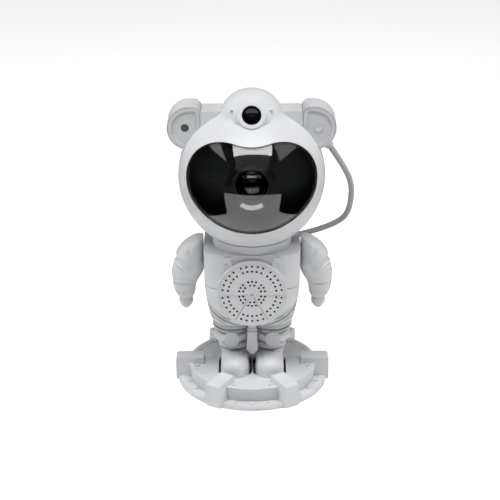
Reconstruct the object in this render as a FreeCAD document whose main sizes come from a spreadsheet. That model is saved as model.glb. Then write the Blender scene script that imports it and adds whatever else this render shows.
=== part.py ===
import FreeCAD, Part
import math
import os
import re
import Sketcher
from FreeCAD import Placement, Rotation, Vector

# Bedside star and nebula projector in the form of a small astronaut on a round platform.
# Millimetres, +Z up, the face looks along -Y. The origin is the middle of the foot pad.

doc = FreeCAD.newDocument("StarProjector")
sheet = doc.addObject("Spreadsheet::Sheet", "Sizes")

sizes = {
    # shared fits
    "fitGap": 0.2, "runningGap": 0.05, "movingGap": 0.35, "axialGap": 0.4, "screwRadius": 1.3,
    "screwHeadRadius": 2.5, "screwHeadHeight": 1.4, "screwLength": 6.0,
    # platform
    "padRadius": 42.0, "padThickness": 0.8, "edgeLift": 0.5, "coverThickness": 2.0, "flangeRadius": 55.0,
    "flangeTop": 2.8, "ridgeInner": 49.4, "ridgeOuter": 53.8, "ridgeHeight": 0.5, "drumRadius": 47.3,
    "drumFoot": 45.6, "drumTop": 13.5, "drumWall": 2.4, "rimWidth": 4.0, "floorTop": 12.7, "floorThickness": 2.2,
    "blockCount": 6, "blockWidth": 11.3, "blockInner": 36.2, "blockOuter": 56.8, "blockTop": 18.0,
    "blockRound": 1.8, "rivetCircle": 49.2, "rivetRadius": 2.4, "smallRivetRadius": 1.4, "rivetStep": 14.0,
    "rivetHeight": 0.5, "studCircle": 41.6, "studStep": 18.5, "studRadius": 1.3, "studHeight": 0.4,
    "baseBossCircle": 38.5, "baseBossRadius": 3.2,
    "weightRadius": 32.0, "weightHeight": 5.0, "weightBore": 6.0,
    # boots and legs
    "bootX": 12.7, "bootHalfWidth": 10.4, "bootToe": 28.6, "bootHeel": 11.0, "bootHeelRound": 7.0,
    "bootHeight": 13.4, "bootCrown": 8.4, "bootScrewFront": 16.0, "bootScrewBack": 3.0,
    "bootScrewLength": 9.0, "slotHalfWidth": 12.2, "slotFront": 23.0, "slotBack": 8.0, "slotRound": 5.0,
    "legX": 13.2, "legFoot": 20.0, "legSplay": 4.0, "ankleRadius": 8.6,
    "cuffRadius": 9.2, "cuffHeight": 3.2, "cuffSwell": 2.1, "shinRadius": 9.7, "shinHeight": 5.6,
    "shinSwell": 4.6, "kneeRadius": 10.9, "kneeHeight": 10.4, "kneeSwell": 12.0, "thighRadius": 12.6,
    "thighHeight": 6.9, "thighSwell": 5.0, "hipRadius": 13.2, "legPegRadius": 11.0, "legPegHeight": 6.0,
    "kneePadX": 14.9, "kneePadRadius": 5.9, "kneePadZ": 37.2, "kneePadReach": 14.2, "kneePadRound": 0.8,
    "strapRadius": 13.6, "strapRise": 15.0, "strapHeight": 4.4,
    # torso, one rounded rectangle per level
    "hipZ": 49.3, "hipHalfWidth": 29.6, "hipHalfDepth": 15.8, "hipCorner": 15.2,
    "seatZ": 53.0, "seatHalfWidth": 30.4, "seatHalfDepth": 21.6, "seatCorner": 17.5,
    "hemZ": 58.5, "hemHalfWidth": 31.2, "hemHalfDepth": 26.2, "hemCorner": 18.0,
    "waistZ": 70.0, "waistHalfWidth": 33.2, "waistHalfDepth": 28.0, "waistCorner": 17.0,
    "bellyZ": 83.0, "bellyHalfWidth": 34.3, "bellyHalfDepth": 28.8, "bellyCorner": 15.0,
    "ribsZ": 96.0, "ribsHalfWidth": 34.5, "ribsHalfDepth": 29.2, "ribsCorner": 14.3,
    "torsoTop": 110.0, "chestHalfWidth": 34.6, "chestHalfDepth": 29.4, "chestCorner": 14.0,
    "torsoWall": 2.2, "seamDepth": 0.5, "seamWidth": 0.7, "waistSeamZ": 83.4, "hemSeamZ": 57.8,
    "hemSeamSlope": 8.5, "torsoBossX": 25.2, "torsoBossRadius": 4.0, "torsoBossLow": 64.0,
    "torsoBossHigh": 96.0, "torsoScrewSeat": 10.0, "torsoScrewLength": 15.4,
    "crotchStripWidth": 5.8, "crotchStripLow": 44.0, "crotchStripHigh": 58.0, "flapTip": 26.7, "flapTipWidth": 3.8,
    "flapTipRise": 0.9, "flapWidth": 8.6, "flapWidest": 30.5, "flapThickness": 2.6, "clipWidth": 7.8,
    "clipHeight": 0.9, "clipRise": 0.6, "clipPitch": 2.4,
    "buckleX": 17.4, "buckleZ": 106.6, "buckleWidth": 5.0, "buckleHeight": 4.4, "strapWidth": 3.0,
    "strapLean": 12.0, "reliefHeight": 0.9,
    # neck seat and magnets
    "seatRadius": 28.5, "seatRise": 6.2, "seatPlugRadius": 24.0, "seatFloor": 101.0,
    "magnetRadius": 9.0, "magnetGap": 0.3, "magnetCapRadius": 14.0,
    "magnetCapHeight": 1.6, "seatSkin": 1.4, "headMagnetRise": 4.0, "headMagnetHeight": 4.0,
    "magnetWall": 2.4,
    # speaker
    "grilleZ": 82.0, "grilleRadius": 24.8, "grillePlane": 30.4, "grilleThickness": 2.0, "lipWidth": 1.2,
    "lipHeight": 0.5, "grilleHoleRadius": 0.78, "outerHoleRing": 21.1, "secondHoleRing": 17.3,
    "outerHoleStep": 10.9, "thirdHoleRing": 9.4, "thirdHoleStep": 17.0, "innerHoleRing": 6.6,
    "innerHoleStep": 25.6, "ribWidth": 1.2, "ribHeight": 0.5, "hubRadius": 3.0, "hubDimple": 1.6,
    "grooveWidth": 0.5, "grooveDepth": 0.4, "speakerOpening": 22.4, "basketRadius": 21.6,
    "basketFlange": 2.2, "basketDepth": 11.0, "basketNeck": 12.0,
    "basketWall": 1.0, "coneRadius": 16.6, "coneNeck": 5.0, "coneDepth": 7.0, "coneWall": 0.5,
    "surroundRadius": 19.6, "surroundSwell": 2.4, "driverMagnetRadius": 11.0, "driverMagnetHeight": 7.0,
    # control side
    "packHalfWidth": 20.0, "packLow": 62.0, "packHigh": 106.0, "packBack": 39.0, "packWall": 2.0,
    "packRound": 4.5, "packEdge": 2.5, "buttonRadius": 4.2, "buttonProud": 0.9, "buttonTravel": 0.7,
    "buttonPitch": 11.5, "buttonZ": 88.0, "buttonFlange": 0.8, "buttonFlangeWidth": 0.8,
    "switchHeight": 2.0, "switchHalf": 3.0, "boardThickness": 1.6, "buttonBoardHalfWidth": 17.0,
    "buttonBoardHalfHeight": 9.0, "packPostRadius": 1.9, "packPostRise": 6.2,
    "mainBoardHalfWidth": 19.0, "mainBoardLow": 64.0, "mainBoardHigh": 99.0, "mainBoardY": 12.0,
    "standoffRadius": 2.3, "standoffInset": 4.0, "chipHeight": 1.8, "socketZ": 58.5,
    "socketWidth": 9.0, "socketHeight": 3.3, "socketDepth": 7.4, "socketWall": 0.4, "socketCorner": 1.3,
    "socketBack": 26.3, "socketBoardFront": 12.0, "socketBoardBack": 21.5, "socketBoardHalf": 9.0,
    # arms
    "shoulderZ": 102.0, "shoulderPinRadius": 4.0, "pinFlangeRadius": 5.2, "pinFlangeHeight": 1.5,
    "pinReach": 9.0, "shoulderX": 36.0, "shoulderHalfWidth": 18.3, "shoulderHalfDepth": 12.4,
    "shoulderHalfHeight": 13.4, "upperArmX": 46.1, "upperArmZ": 91.0, "upperArmHalfWidth": 11.4,
    "upperArmHalfDepth": 12.4, "elbowX": 48.4, "elbowZ": 83.0, "elbowHalfWidth": 9.9, "elbowHalfDepth": 11.4,
    "forearmX": 49.3, "forearmZ": 74.0, "forearmHalfWidth": 8.2, "forearmHalfDepth": 10.0,
    "wristX": 49.0, "wristZ": 66.5, "wristHalfWidth": 5.6, "wristHalfDepth": 6.8,
    "handX": 48.6, "handZ": 62.6, "handRadius": 5.2,
    # head
    "headZ": 160.5, "headRadius": 52.3, "headWall": 2.4, "rearInset": 0.25, "partingY": -16.0,
    "visorHalfWidth": 45.3, "visorDrop": 28.3, "visorBottomRadius": 52.5, "visorSideRadius": 28.0,
    "visorDip": 33.0, "visorGap": 0.4, "visorRecess": 0.8, "bezelWidth": 2.6, "bezelThickness": 1.4,
    "barHalfDepth": 10.0, "barY": 1.0, "barTop": 209.3, "barBottom": 190.0,
    "earX": 43.35, "earZ": 196.8, "earRadius": 15.7, "earInner": 35.0, "earLip": 0.7,
    "earCornerRound": 6.1, "earFront": -8.0, "earBack": 16.4, "earBackRound": 3.4, "earWall": 2.0,
    "earCoverThickness": 2.2, "earRimWidth": 2.8, "earRecess": 0.8,
    "windowX": 46.4, "windowZ": 197.0, "windowRadius": 2.85, "windowDepth": 1.2, "receiverHalf": 3.0,
    "receiverDepth": 3.6, "earButtonRadius": 3.3, "earButtonDish": 0.5, "earButtonTravel": 0.8,
    "earSwitchDepth": 2.2, "earPostRadius": 3.0,
    "domeY": -3.4, "domeZ": 200.6, "domeRadius": 23.4, "domeWall": 2.2, "domeBlend": 6.0,
    "turretTilt": 26.5, "collarRadius": 12.9, "collarBase": 15.0, "collarTop": 21.8, "collarEdge": 1.2,
    "pegRadius": 1.3, "pegLength": 1.6, "pegRise": 4.6, "pegHeight": 19.9, "ringRadius": 10.5,
    "ringBase": 15.5, "ringTop": 24.8, "ringBevel": 1.3,
    "starLensRadius": 6.7, "starLensRecess": 0.9, "starLensThickness": 1.8, "starLensCurve": 16.0,
    "gratingThickness": 0.6, "laserRadius": 5.4, "laserLength": 14.0, "laserStep": 1.2,
    # optics inside the head
    "plateThickness": 2.4, "holderRadius": 14.3, "holderBore": 11.4, "holderLedge": 1.8,
    "holderFront": -24.5, "holderFlange": 1.6, "holderFlangeRadius": 17.0, "nebulaLensFront": -30.0,
    "nebulaLensBack": -21.0, "nebulaLensCurve": 12.6,
    "wheelRise": 12.0, "wheelFront": -11.0, "wheelThickness": 2.4,
    "wheelTeeth": 48, "pinionTeeth": 10, "toothModule": 0.75, "toothTip": 0.45,
    "toothRoot": 1.25, "toothAddendum": 0.45, "toothDedendum": 0.85, "gearSpread": 0.05,
    "pinionOverlap": 0.3, "rimRadius": 15.2, "rimLedge": 1.0, "hubOuter": 4.2, "glassThickness": 1.4,
    "axleRadius": 1.2, "axleHeadRadius": 2.6, "axleHeadHeight": 0.8,
    "pinionAngle": 30.0, "motorRadius": 7.0, "motorLength": 13.0, "motorShaftRadius": 0.9,
    "motorBoreDepth": 5.3, "bracketFront": -7.5, "bracketThickness": 1.5, "bracketPostRadius": 1.8,
    "bracketPostReach": 10.4, "bracketHalfHeight": 4.0, "lampBoardY": -5.0, "lampBoardHalf": 22.0,
    "lampBoardLow": 18.5, "lampBoardHigh": 3.5, "lampPostRadius": 2.2, "lampPostInset": 2.6,
    "ledRadius": 3.5, "ledHeight": 1.2, "sinkLength": 14.0, "sinkHalf": 11.0, "finGap": 2.0,
    "sinkBase": 3.0, "headBoardY": 22.0,
    "headBoardHalfWidth": 20.0, "headBoardHalfHeight": 15.0, "plateTop": 36.0,
    "headBossRadius": 3.4, "chinBossX": 18.0, "chinBossDrop": 37.5, "cheekBossX": 38.0,
    "cheekBossDrop": 22.0, "headScrewSeat": 3.0,
    # lead between head and body
    "leadRadius": 2.2, "glandRadius": 3.4, "glandLength": 5.0, "glandFlange": 4.4,
    "glandFlangeHeight": 1.4, "glandRoot": 1.0, "earGlandAngle": 55.0, "earGlandY": 5.0,
    "packGlandY": 34.3, "packGlandZ": 98.5, "earRun": 14.2, "loopTopX": 72.5, "loopTopY": 14.5,
    "loopTopZ": 147.0, "loopLowX": 71.5, "loopLowY": 22.5, "loopLowZ": 123.0, "loopTurnX": 62.0,
    "loopTurnY": 29.5, "loopTurnZ": 110.0, "packRunX": 40.0,
}

for row, (alias, amount) in enumerate(sizes.items(), start=1):
    sheet.set("A%d" % row, alias)
    sheet.set("B%d" % row, str(amount))
    sheet.setAlias("B%d" % row, alias)
doc.recompute()

facing = {
    "up": Rotation(),
    "down": Rotation(Vector(1, 0, 0), 180),
    "front": Rotation(Vector(1, 0, 0), 90),
    "back": Rotation(Vector(1, 0, 0), -90),
    "right": Rotation(Vector(0, 1, 0), 90),
    "left": Rotation(Vector(0, 1, 0), -90),
}


worked = {}


def number(text):
    """Value of a sum of products of cells and plain numbers, written with spaces between."""
    total, sign, product, divide = 0.0, 1.0, None, False
    for word in text.split():
        if word in ("+", "-"):
            total += sign * (product or 0.0)
            sign, product, divide = (1.0 if word == "+" else -1.0), None, False
        elif word in ("*", "/"):
            divide = word == "/"
        else:
            factor = float(sizes[word]) if word in sizes else worked[word][1] if word in worked else float(word)
            if product is None:
                product = factor
            else:
                product = product / factor if divide else product * factor
    return total + sign * (product or 0.0)


def minus(text):
    """The same sum with every sign turned."""
    words = [{"+": "-", "-": "+"}.get(word, word) for word in text.split()]
    return " ".join(words[1:] if words[0] == "+" else ["-"] + words)


def bind(obj, prop, text):
    """Ties a property to the cells that text names."""
    obj.setExpression(prop, re.sub(r"[a-zA-Z]\w*", lambda found: cell_of(found[0]), text))


def cell_of(word):
    if word in worked:
        return worked[word][0]
    return "Sizes." + word if word in sizes else word


def work_out(name, text, amount):
    """Keeps a length that needs a root or brackets: its expression and its value now."""
    worked[name] = ("(" + re.sub(r"[a-zA-Z]\w*", lambda found: cell_of(found[0]), text) + ")", amount)
    return name


def place(obj, where, direction="up"):
    """Puts an object at three expressions, turned from +Z to one of the six directions."""
    obj.Placement = Placement(Vector(), facing[direction])
    for axis, text in zip("xyz", where):
        bind(obj, "Placement.Base." + axis, text)
    return obj


def cylinder(name, radius, height, where=("0", "0", "0"), direction="up"):
    shape = doc.addObject("Part::Cylinder", name)
    bind(shape, "Radius", radius)
    bind(shape, "Height", height)
    return place(shape, where, direction)


def ball(name, radius, where):
    shape = doc.addObject("Part::Sphere", name)
    bind(shape, "Radius", radius)
    return place(shape, where)


def egg(name, half_x, half_y, half_z, where):
    shape = doc.addObject("Part::Ellipsoid", name)
    bind(shape, "Radius1", half_z)
    bind(shape, "Radius2", half_x)
    bind(shape, "Radius3", half_y)
    return place(shape, where)


def block(name, low, high):
    """Box between two corners, each three expressions."""
    shape = doc.addObject("Part::Box", name)
    for prop, start, end in zip(("Length", "Width", "Height"), low, high):
        bind(shape, prop, "(%s) - (%s)" % (end, start))
    return place(shape, low)


def fuse(name, *parts):
    shape = doc.addObject("Part::MultiFuse", name)
    shape.Shapes = list(parts)
    return shape


def cut(name, base, *tools):
    shape = doc.addObject("Part::Cut", name)
    shape.Base = base
    shape.Tool = tools[0] if len(tools) == 1 else fuse(name + "_tools", *tools)
    return shape


def common(name, *parts):
    shape = doc.addObject("Part::MultiCommon", name)
    shape.Shapes = list(parts)
    return shape


def group(name, parts):
    """Several separate solids that share one node."""
    shape = doc.addObject("Part::Compound", name)
    shape.Links = list(parts)
    return shape


def new_body(name):
    body = doc.addObject("PartDesign::Body", name)
    doc.recompute()
    return body


def sketch_on(body, plane, name, height=None):
    sketch = body.newObject("Sketcher::SketchObject", name)
    origin = next(item for item in body.Origin.OriginFeatures if item.Role == plane)
    sketch.AttachmentSupport = [(origin, "")]
    sketch.MapMode = "FlatFace"
    if height is not None:
        bind(sketch, "AttachmentOffset.Base.z", height)
    return sketch


def pin_point(sketch, edge, end, across, along):
    for kind, text in (("DistanceX", across), ("DistanceY", along)):
        index = sketch.addConstraint(Sketcher.Constraint(kind, -1, 1, edge, end, number(text)))
        bind(sketch, "Constraints[%d]" % index, text)


def outline(sketch, points):
    """Closed outline, counter-clockwise. A third entry in a point bends the edge that leaves it
    outwards to that radius, and a fourth bends it inwards instead."""
    corners = [Vector(number(point[0]), number(point[1]), 0) for point in points]
    first = sketch.GeometryCount
    count = len(points)
    for index, point in enumerate(points):
        start, end = corners[index], corners[(index + 1) % count]
        if len(point) == 2:
            sketch.addGeometry(Part.LineSegment(start, end), False)
            continue
        radius, chord = number(point[2]), end - start
        rise = math.sqrt(max(radius ** 2 - chord.Length ** 2 / 4, 0))
        inward = Vector(-chord.y, chord.x, 0).normalize()
        centre = (start + end) * 0.5 + inward * (rise if len(point) == 3 else -rise)
        tips = (start, end) if len(point) == 3 else (end, start)
        angles = [math.atan2(tip.y - centre.y, tip.x - centre.x) for tip in tips]
        if angles[1] < angles[0]:
            angles[1] += 2 * math.pi
        sketch.addGeometry(Part.ArcOfCircle(Part.Circle(centre, Vector(0, 0, 1), radius), *angles), False)
    for index, point in enumerate(points):
        edge, before = first + index, first + (index - 1) % count
        start = 2 if len(point) == 4 else 1
        finish = 1 if len(points[index - 1]) == 4 else 2
        sketch.addConstraint(Sketcher.Constraint("Coincident", before, finish, edge, start))
        pin_point(sketch, edge, start, point[0], point[1])
        if len(point) > 2:
            bound = sketch.addConstraint(Sketcher.Constraint("Radius", edge, number(point[2])))
            bind(sketch, "Constraints[%d]" % bound, point[2])
    return sketch


def circle(sketch, across, along, radius):
    centre = Vector(number(across), number(along), 0)
    edge = sketch.addGeometry(Part.Circle(centre, Vector(0, 0, 1), number(radius)), False)
    pin_point(sketch, edge, 3, across, along)
    bound = sketch.addConstraint(Sketcher.Constraint("Radius", edge, number(radius)))
    bind(sketch, "Constraints[%d]" % bound, radius)
    return edge


def pad(body, sketch, name, length, side="One side", kind="Pad"):
    """Pad or pocket; the side is one, the other, or symmetric about the sketch."""
    feature = body.newObject("PartDesign::" + kind, name)
    feature.Profile = sketch
    feature.Midplane = side == "Symmetric"
    feature.Reversed = side == "Other side"
    bind(feature, "Length", length)
    return feature


def ring_of(body, feature, name, count):
    """Repeats a feature round the body's Z axis."""
    pattern = body.newObject("PartDesign::PolarPattern", name)
    pattern.Originals = [feature]
    axis = next(item for item in body.Origin.OriginFeatures if item.Role == "Z_Axis")
    pattern.Axis = (axis, [""])
    pattern.Angle = 360
    pattern.Occurrences = int(number(count))
    if count in sizes:
        bind(pattern, "Occurrences", count)
    body.Tip = pattern
    return pattern


def revolve(body, sketch, name, kind="Revolution"):
    feature = body.newObject("PartDesign::" + kind, name)
    feature.Profile = sketch
    feature.ReferenceAxis = (sketch, ["V_Axis"])
    feature.Angle = 360
    return feature


def turned(name, points, where=("0", "0", "0"), direction="up"):
    """Lathe piece: points are radius and height along its axis, which then faces a direction."""
    body = new_body(name)
    revolve(body, outline(sketch_on(body, "XZ_Plane", name + "_profile"), points), name + "_turning")
    return place(body, where, direction)


def tube(inner, outer, low, high):
    """Profile of a plain ring between two heights."""
    return [(inner, low), (outer, low), (outer, high), (inner, high)]


def disc(radius, low, high):
    return tube("0", radius, low, high)


def around(circle_radius, turn, height, count="blockCount", offset=30.0):
    """Place on a circle about Z: the turn-th of several equal steps, from an offset in degrees."""
    angle = "(%s + %s * 360 / %s)" % (offset, turn, count)
    return ("%s * cos%s" % (circle_radius, angle), "%s * sin%s" % (circle_radius, angle), height)


def lean(shape, axis, angle, where):
    """Turns an object about one axis and puts it in place, both by expressions."""
    shape.Placement = Placement(Vector(), Rotation(axis, 1))
    bind(shape, "Placement.Rotation.Angle", angle)
    for letter, text in zip("xyz", where):
        bind(shape, "Placement.Base." + letter, text)
    return shape


def mirrored(name, shape):
    """The same piece on the other side of the middle plane."""
    twin = doc.addObject("Part::Mirroring", name)
    twin.Source = shape
    twin.Normal = (1, 0, 0)
    return twin


def screw(name, where, direction, length):
    """Pan-head screw, drawn with a plain shank. The place is the outer face of its head."""
    profile = [("0", "0"), ("screwHeadRadius", "0"), ("screwHeadRadius", "screwHeadHeight"),
               ("screwRadius", "screwHeadHeight"), ("screwRadius", length), ("0", length)]
    return turned(name, profile, where, direction)


def rounded(half_x, half_y, corner, change=""):
    """Rounded rectangle about the origin, with its sides moved by a signed distance."""
    x, y, r = (text + change for text in (half_x, half_y, corner))
    flat_x, flat_y = half_x + " " + minus(corner), half_y + " " + minus(corner)
    return [(x, minus(flat_y)), (x, flat_y, r), (flat_x, y), (minus(flat_x), y, r), (minus(x), flat_y),
            (minus(x), minus(flat_y), r), (minus(flat_x), minus(y)), (flat_x, minus(y), r)]


nodes = {}
sides = (("left", "- "), ("right", ""))


def keep(label, shape):
    """Names the finished sub-part."""
    shape.Label = label
    nodes[label] = shape
    return shape


# ---------------------------------------------------------------- platform


def platform():
    body = new_body("platform_moulding")
    rim = "drumRadius - rimWidth"
    ridge = "flangeTop + ridgeHeight"
    profile = [("0", "edgeLift"), ("flangeRadius", "edgeLift"), ("flangeRadius", "flangeTop"),
               ("ridgeOuter", "flangeTop"), ("ridgeOuter", ridge), ("ridgeInner", ridge),
               ("ridgeInner", "flangeTop"), ("drumFoot", "flangeTop"), ("drumRadius", "drumTop"),
               (rim, "drumTop"), (rim, "floorTop"), ("0", "floorTop")]
    revolve(body, outline(sketch_on(body, "XZ_Plane", "drum_profile"), profile), "drum")

    side_view = sketch_on(body, "XZ_Plane", "block_side")
    outline(side_view, [("blockInner", "edgeLift"), ("blockOuter", "edgeLift"),
                        ("blockOuter", "blockTop - blockRound", "blockRound"),
                        ("blockOuter - blockRound", "blockTop"), ("blockInner", "blockTop")])
    ring_of(body, pad(body, side_view, "block_pad", "blockWidth", "Symmetric"), "blocks", "blockCount")

    hollow_top = "floorTop - floorThickness"
    hollow = outline(sketch_on(body, "XZ_Plane", "hollow_profile"),
                     disc("drumFoot - drumWall", "edgeLift - 1", hollow_top))
    revolve(body, hollow, "hollow", "Groove")

    cover_top = "padThickness + coverThickness"
    bosses = sketch_on(body, "XY_Plane", "boss_circle", cover_top)
    circle(bosses, "0", "- baseBossCircle", "baseBossRadius")
    boss = pad(body, bosses, "boss", hollow_top + " " + minus(cover_top))
    ring_of(body, boss, "bosses", "blockCount")
    pilot = sketch_on(body, "XY_Plane", "pilot_circle", cover_top)
    circle(pilot, "0", "- baseBossCircle", "screwRadius")
    hole = pad(body, pilot, "pilot", "screwLength", "Other side", "Pocket")
    ring_of(body, hole, "pilots", "blockCount")

    rivet_sketch = sketch_on(body, "XY_Plane", "rivet_circle", "flangeTop")
    circle(rivet_sketch, "0", "- rivetCircle", "rivetRadius")
    stud_sketch = sketch_on(body, "XY_Plane", "stud_circle", "floorTop")
    for sketch, word, radius in ((rivet_sketch, "rivet", "smallRivetRadius"), (stud_sketch, "stud", "studRadius")):
        reach, step = number(word + "Circle"), math.radians(number(word + "Step"))
        across = work_out(word + "Across", "%sCircle * sin(%sStep)" % (word, word), reach * math.sin(step))
        along = work_out(word + "Along", "%sCircle * cos(%sStep)" % (word, word), reach * math.cos(step))
        circle(sketch, minus(across), minus(along), radius)
        circle(sketch, across, minus(along), radius)
    ring_of(body, pad(body, rivet_sketch, "rivet", "ridgeHeight + rivetHeight"), "rivets", "blockCount")
    ring_of(body, pad(body, stud_sketch, "stud", "drumTop - floorTop + studHeight"), "studs", "blockCount")
    return body


def boot_outline(sketch):
    shoulder = "bootHalfWidth - bootToe"
    heel = "bootHeel - bootHeelRound"
    inner = "bootHalfWidth - bootHeelRound"
    return outline(sketch, [("bootHalfWidth", shoulder), ("bootHalfWidth", heel, "bootHeelRound"),
                            (inner, "bootHeel"), ("- bootHalfWidth + bootHeelRound", "bootHeel", "bootHeelRound"),
                            ("- bootHalfWidth", heel), ("- bootHalfWidth", shoulder, "bootHalfWidth"),
                            ("0", "- bootToe", "bootHalfWidth")])


def boot(name, side):
    body = new_body(name)
    last = pad(body, boot_outline(sketch_on(body, "XY_Plane", name + "_sole")), name + "_upper", "bootHeight")
    doc.recompute()
    crown = ["Edge%d" % index for index, edge in enumerate(last.Shape.Edges, start=1)
             if all(abs(tip.Z - number("bootHeight")) < 0.01 for tip in edge.Vertexes)]
    domed = body.newObject("PartDesign::Fillet", name + "_crown")
    domed.Base = (last, crown)
    bind(domed, "Radius", "bootCrown")
    body.Tip = domed
    return place(body, (side + "bootX", "0", "floorTop"))


def boot_slot(name, side):
    """Gap that follows both flanks of a boot through the platform floor."""
    wide = new_body(name + "_wide")
    centre_y = "slotBack / 2 - slotFront / 2"
    shape = rounded("slotHalfWidth", "slotFront / 2 + slotBack / 2", "slotRound")
    pad(wide, outline(sketch_on(wide, "XY_Plane", name + "_line"), shape), name + "_pad", "floorThickness + 2")
    place(wide, (side + "bootX", centre_y, "floorTop - floorThickness - 1"))
    core = new_body(name + "_core")
    pad(core, boot_outline(sketch_on(core, "XY_Plane", name + "_core_line")), name + "_core_pad",
        "floorThickness + 4")
    place(core, (side + "bootX", "0", "floorTop - floorThickness - 2"))
    return cut(name, wide, core)


def leg(name, side):
    """Stack of padded rings round an axis that leans outwards."""
    profile, height = [("0", "0"), ("ankleRadius", "0", "cuffSwell")], "cuffHeight"
    for radius, swell, rise in (("cuffRadius", "cuffSwell", "cuffHeight"),
                                ("shinRadius", "shinSwell", "shinHeight"),
                                ("kneeRadius", "kneeSwell", "kneeHeight"),
                                ("thighRadius", "thighSwell", "thighHeight")):
        profile.append((radius, height, swell))
        height += " + " + rise
    top = height + " + legPegHeight"
    profile += [("hipRadius", height), ("legPegRadius", height), ("legPegRadius", top), ("0", top)]
    return lean(turned(name, profile), Vector(0, 1, 0), side + "legSplay", (side + "legX", "0", "legFoot"))


def knee_pad(name, side, limb):
    """Round pad on a strap that runs round the knee."""
    boss = turned(name + "_boss", [("0", "0"), ("kneePadRadius", "0"),
                                   ("kneePadRadius", "kneePadReach - kneePadRound", "kneePadRound"),
                                   ("kneePadRadius - kneePadRound", "kneePadReach"), ("0", "kneePadReach")],
                  (side + "kneePadX", "0", "kneePadZ"), "front")
    band = lean(cylinder(name + "_band", "strapRadius", "strapHeight"), Vector(0, 1, 0), side + "legSplay",
                (side + "(legX + strapRise * sin(legSplay))", "0", "legFoot + strapRise * cos(legSplay)"))
    return cut(name, fuse(name + "_form", boss, band), limb)


levels = (("hip", "hipZ"), ("seat", "seatZ"), ("hem", "hemZ"), ("waist", "waistZ"), ("belly", "bellyZ"),
          ("ribs", "ribsZ"), ("chest", "torsoTop"))


def trunk_form(name, change="", end_wall="0"):
    """Trunk lofted through one rounded rectangle per level, with its sides moved by a distance."""
    body = new_body(name)
    sections = []
    for index, (level, height) in enumerate(levels):
        if index == 0:
            height += " + " + end_wall
        if index == len(levels) - 1:
            height += " - " + end_wall
        section = sketch_on(body, "XY_Plane", "%s_%s" % (name, level), height)
        outline(section, rounded(level + "HalfWidth", level + "HalfDepth", level + "Corner", change))
        sections.append(section)
    loft = body.newObject("PartDesign::AdditiveLoft", name + "_loft")
    loft.Profile = sections[0]
    loft.Sections = [(section, [""]) for section in sections[1:]]
    loft.Ruled = False
    return body


def seam(name, inner_form, height, slope):
    """Shallow groove right round the trunk, level or falling towards the middle."""
    width, high = "4 * chestHalfWidth", height + " + seamWidth"
    if slope == "0":
        band = block(name + "_band", ("- 2 * chestHalfWidth", "- 2 * chestHalfDepth", height),
                     ("2 * chestHalfWidth", "2 * chestHalfDepth", high))
        return cut(name, band, inner_form)
    wings = []
    for side, turn in (("left", ""), ("right", "- ")):
        band = block(name + "_" + side, ("0", "- 2 * chestHalfDepth", "0"),
                     (width, "2 * chestHalfDepth", "seamWidth"))
        turn += slope + (" + 180" if side == "left" else "")
        wings.append(lean(band, Vector(0, 1, 0), turn, ("0", "- 2 * chestHalfDepth", height)))
    return cut(name, fuse(name + "_bands", *wings), inner_form)


def arm(name, side, pin):
    """Padded sleeve from a rounded shoulder through the elbow to the wrist, flat against the trunk."""
    rings = []
    for level, height in (("shoulder", "shoulderZ"), ("upperArm", "upperArmZ"), ("elbow", "elbowZ"),
                          ("forearm", "forearmZ"), ("wrist", "wristZ")):
        ring = doc.addObject("Part::Ellipse", name + "_" + level)
        wide = number(level + "HalfWidth") > number(level + "HalfDepth")
        bind(ring, "MajorRadius", level + ("HalfWidth" if wide else "HalfDepth"))
        bind(ring, "MinorRadius", level + ("HalfDepth" if wide else "HalfWidth"))
        ring.Placement = Placement(Vector(), Rotation(Vector(0, 0, 1), 0 if wide else 90))
        for letter, text in zip("xz", (side + level + "X", height)):
            bind(ring, "Placement.Base." + letter, text)
        rings.append(ring)
    loft = doc.addObject("Part::Loft", name + "_loft")
    loft.Sections = rings
    loft.Solid = True
    cap = egg(name + "_cap", "shoulderHalfWidth", "shoulderHalfDepth", "shoulderHalfHeight",
              (side + "shoulderX", "0", "shoulderZ"))
    hand = ball(name + "_hand", "handRadius", (side + "handX", "0", "handZ"))
    inner = "chestHalfWidth + movingGap"
    reach = "2 * shoulderHalfHeight"
    low = (inner + " - " + reach if not side else minus(inner), "- " + reach, "0")
    high = (inner if not side else minus(inner) + " + " + reach, reach, "headZ")
    below = block(name + "_below", (side + "shoulderX - " + reach, "- " + reach, "0"),
                  (side + "shoulderX + " + reach, reach, "shoulderZ"))
    sleeve = cut(name + "_trimmed", fuse(name + "_form", loft, cut(name + "_shoulder_top", cap, below), hand),
                 block(name + "_inside", low, high))
    return fuse(name, sleeve, pin)


def halves(name, shape, split):
    """Front and rear parts of a form, met on a plane across Y."""
    reach = "4 * headRadius"
    front = block(name + "_front_side", ("- " + reach, split + " - " + reach, "- " + reach),
                  (reach, split, reach))
    rear = block(name + "_rear_side", ("- " + reach, split, "- " + reach),
                 (reach, split + " + " + reach, reach))
    return common(name + "_front_half", shape, front), common(name + "_rear_half", shape, rear)


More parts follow.
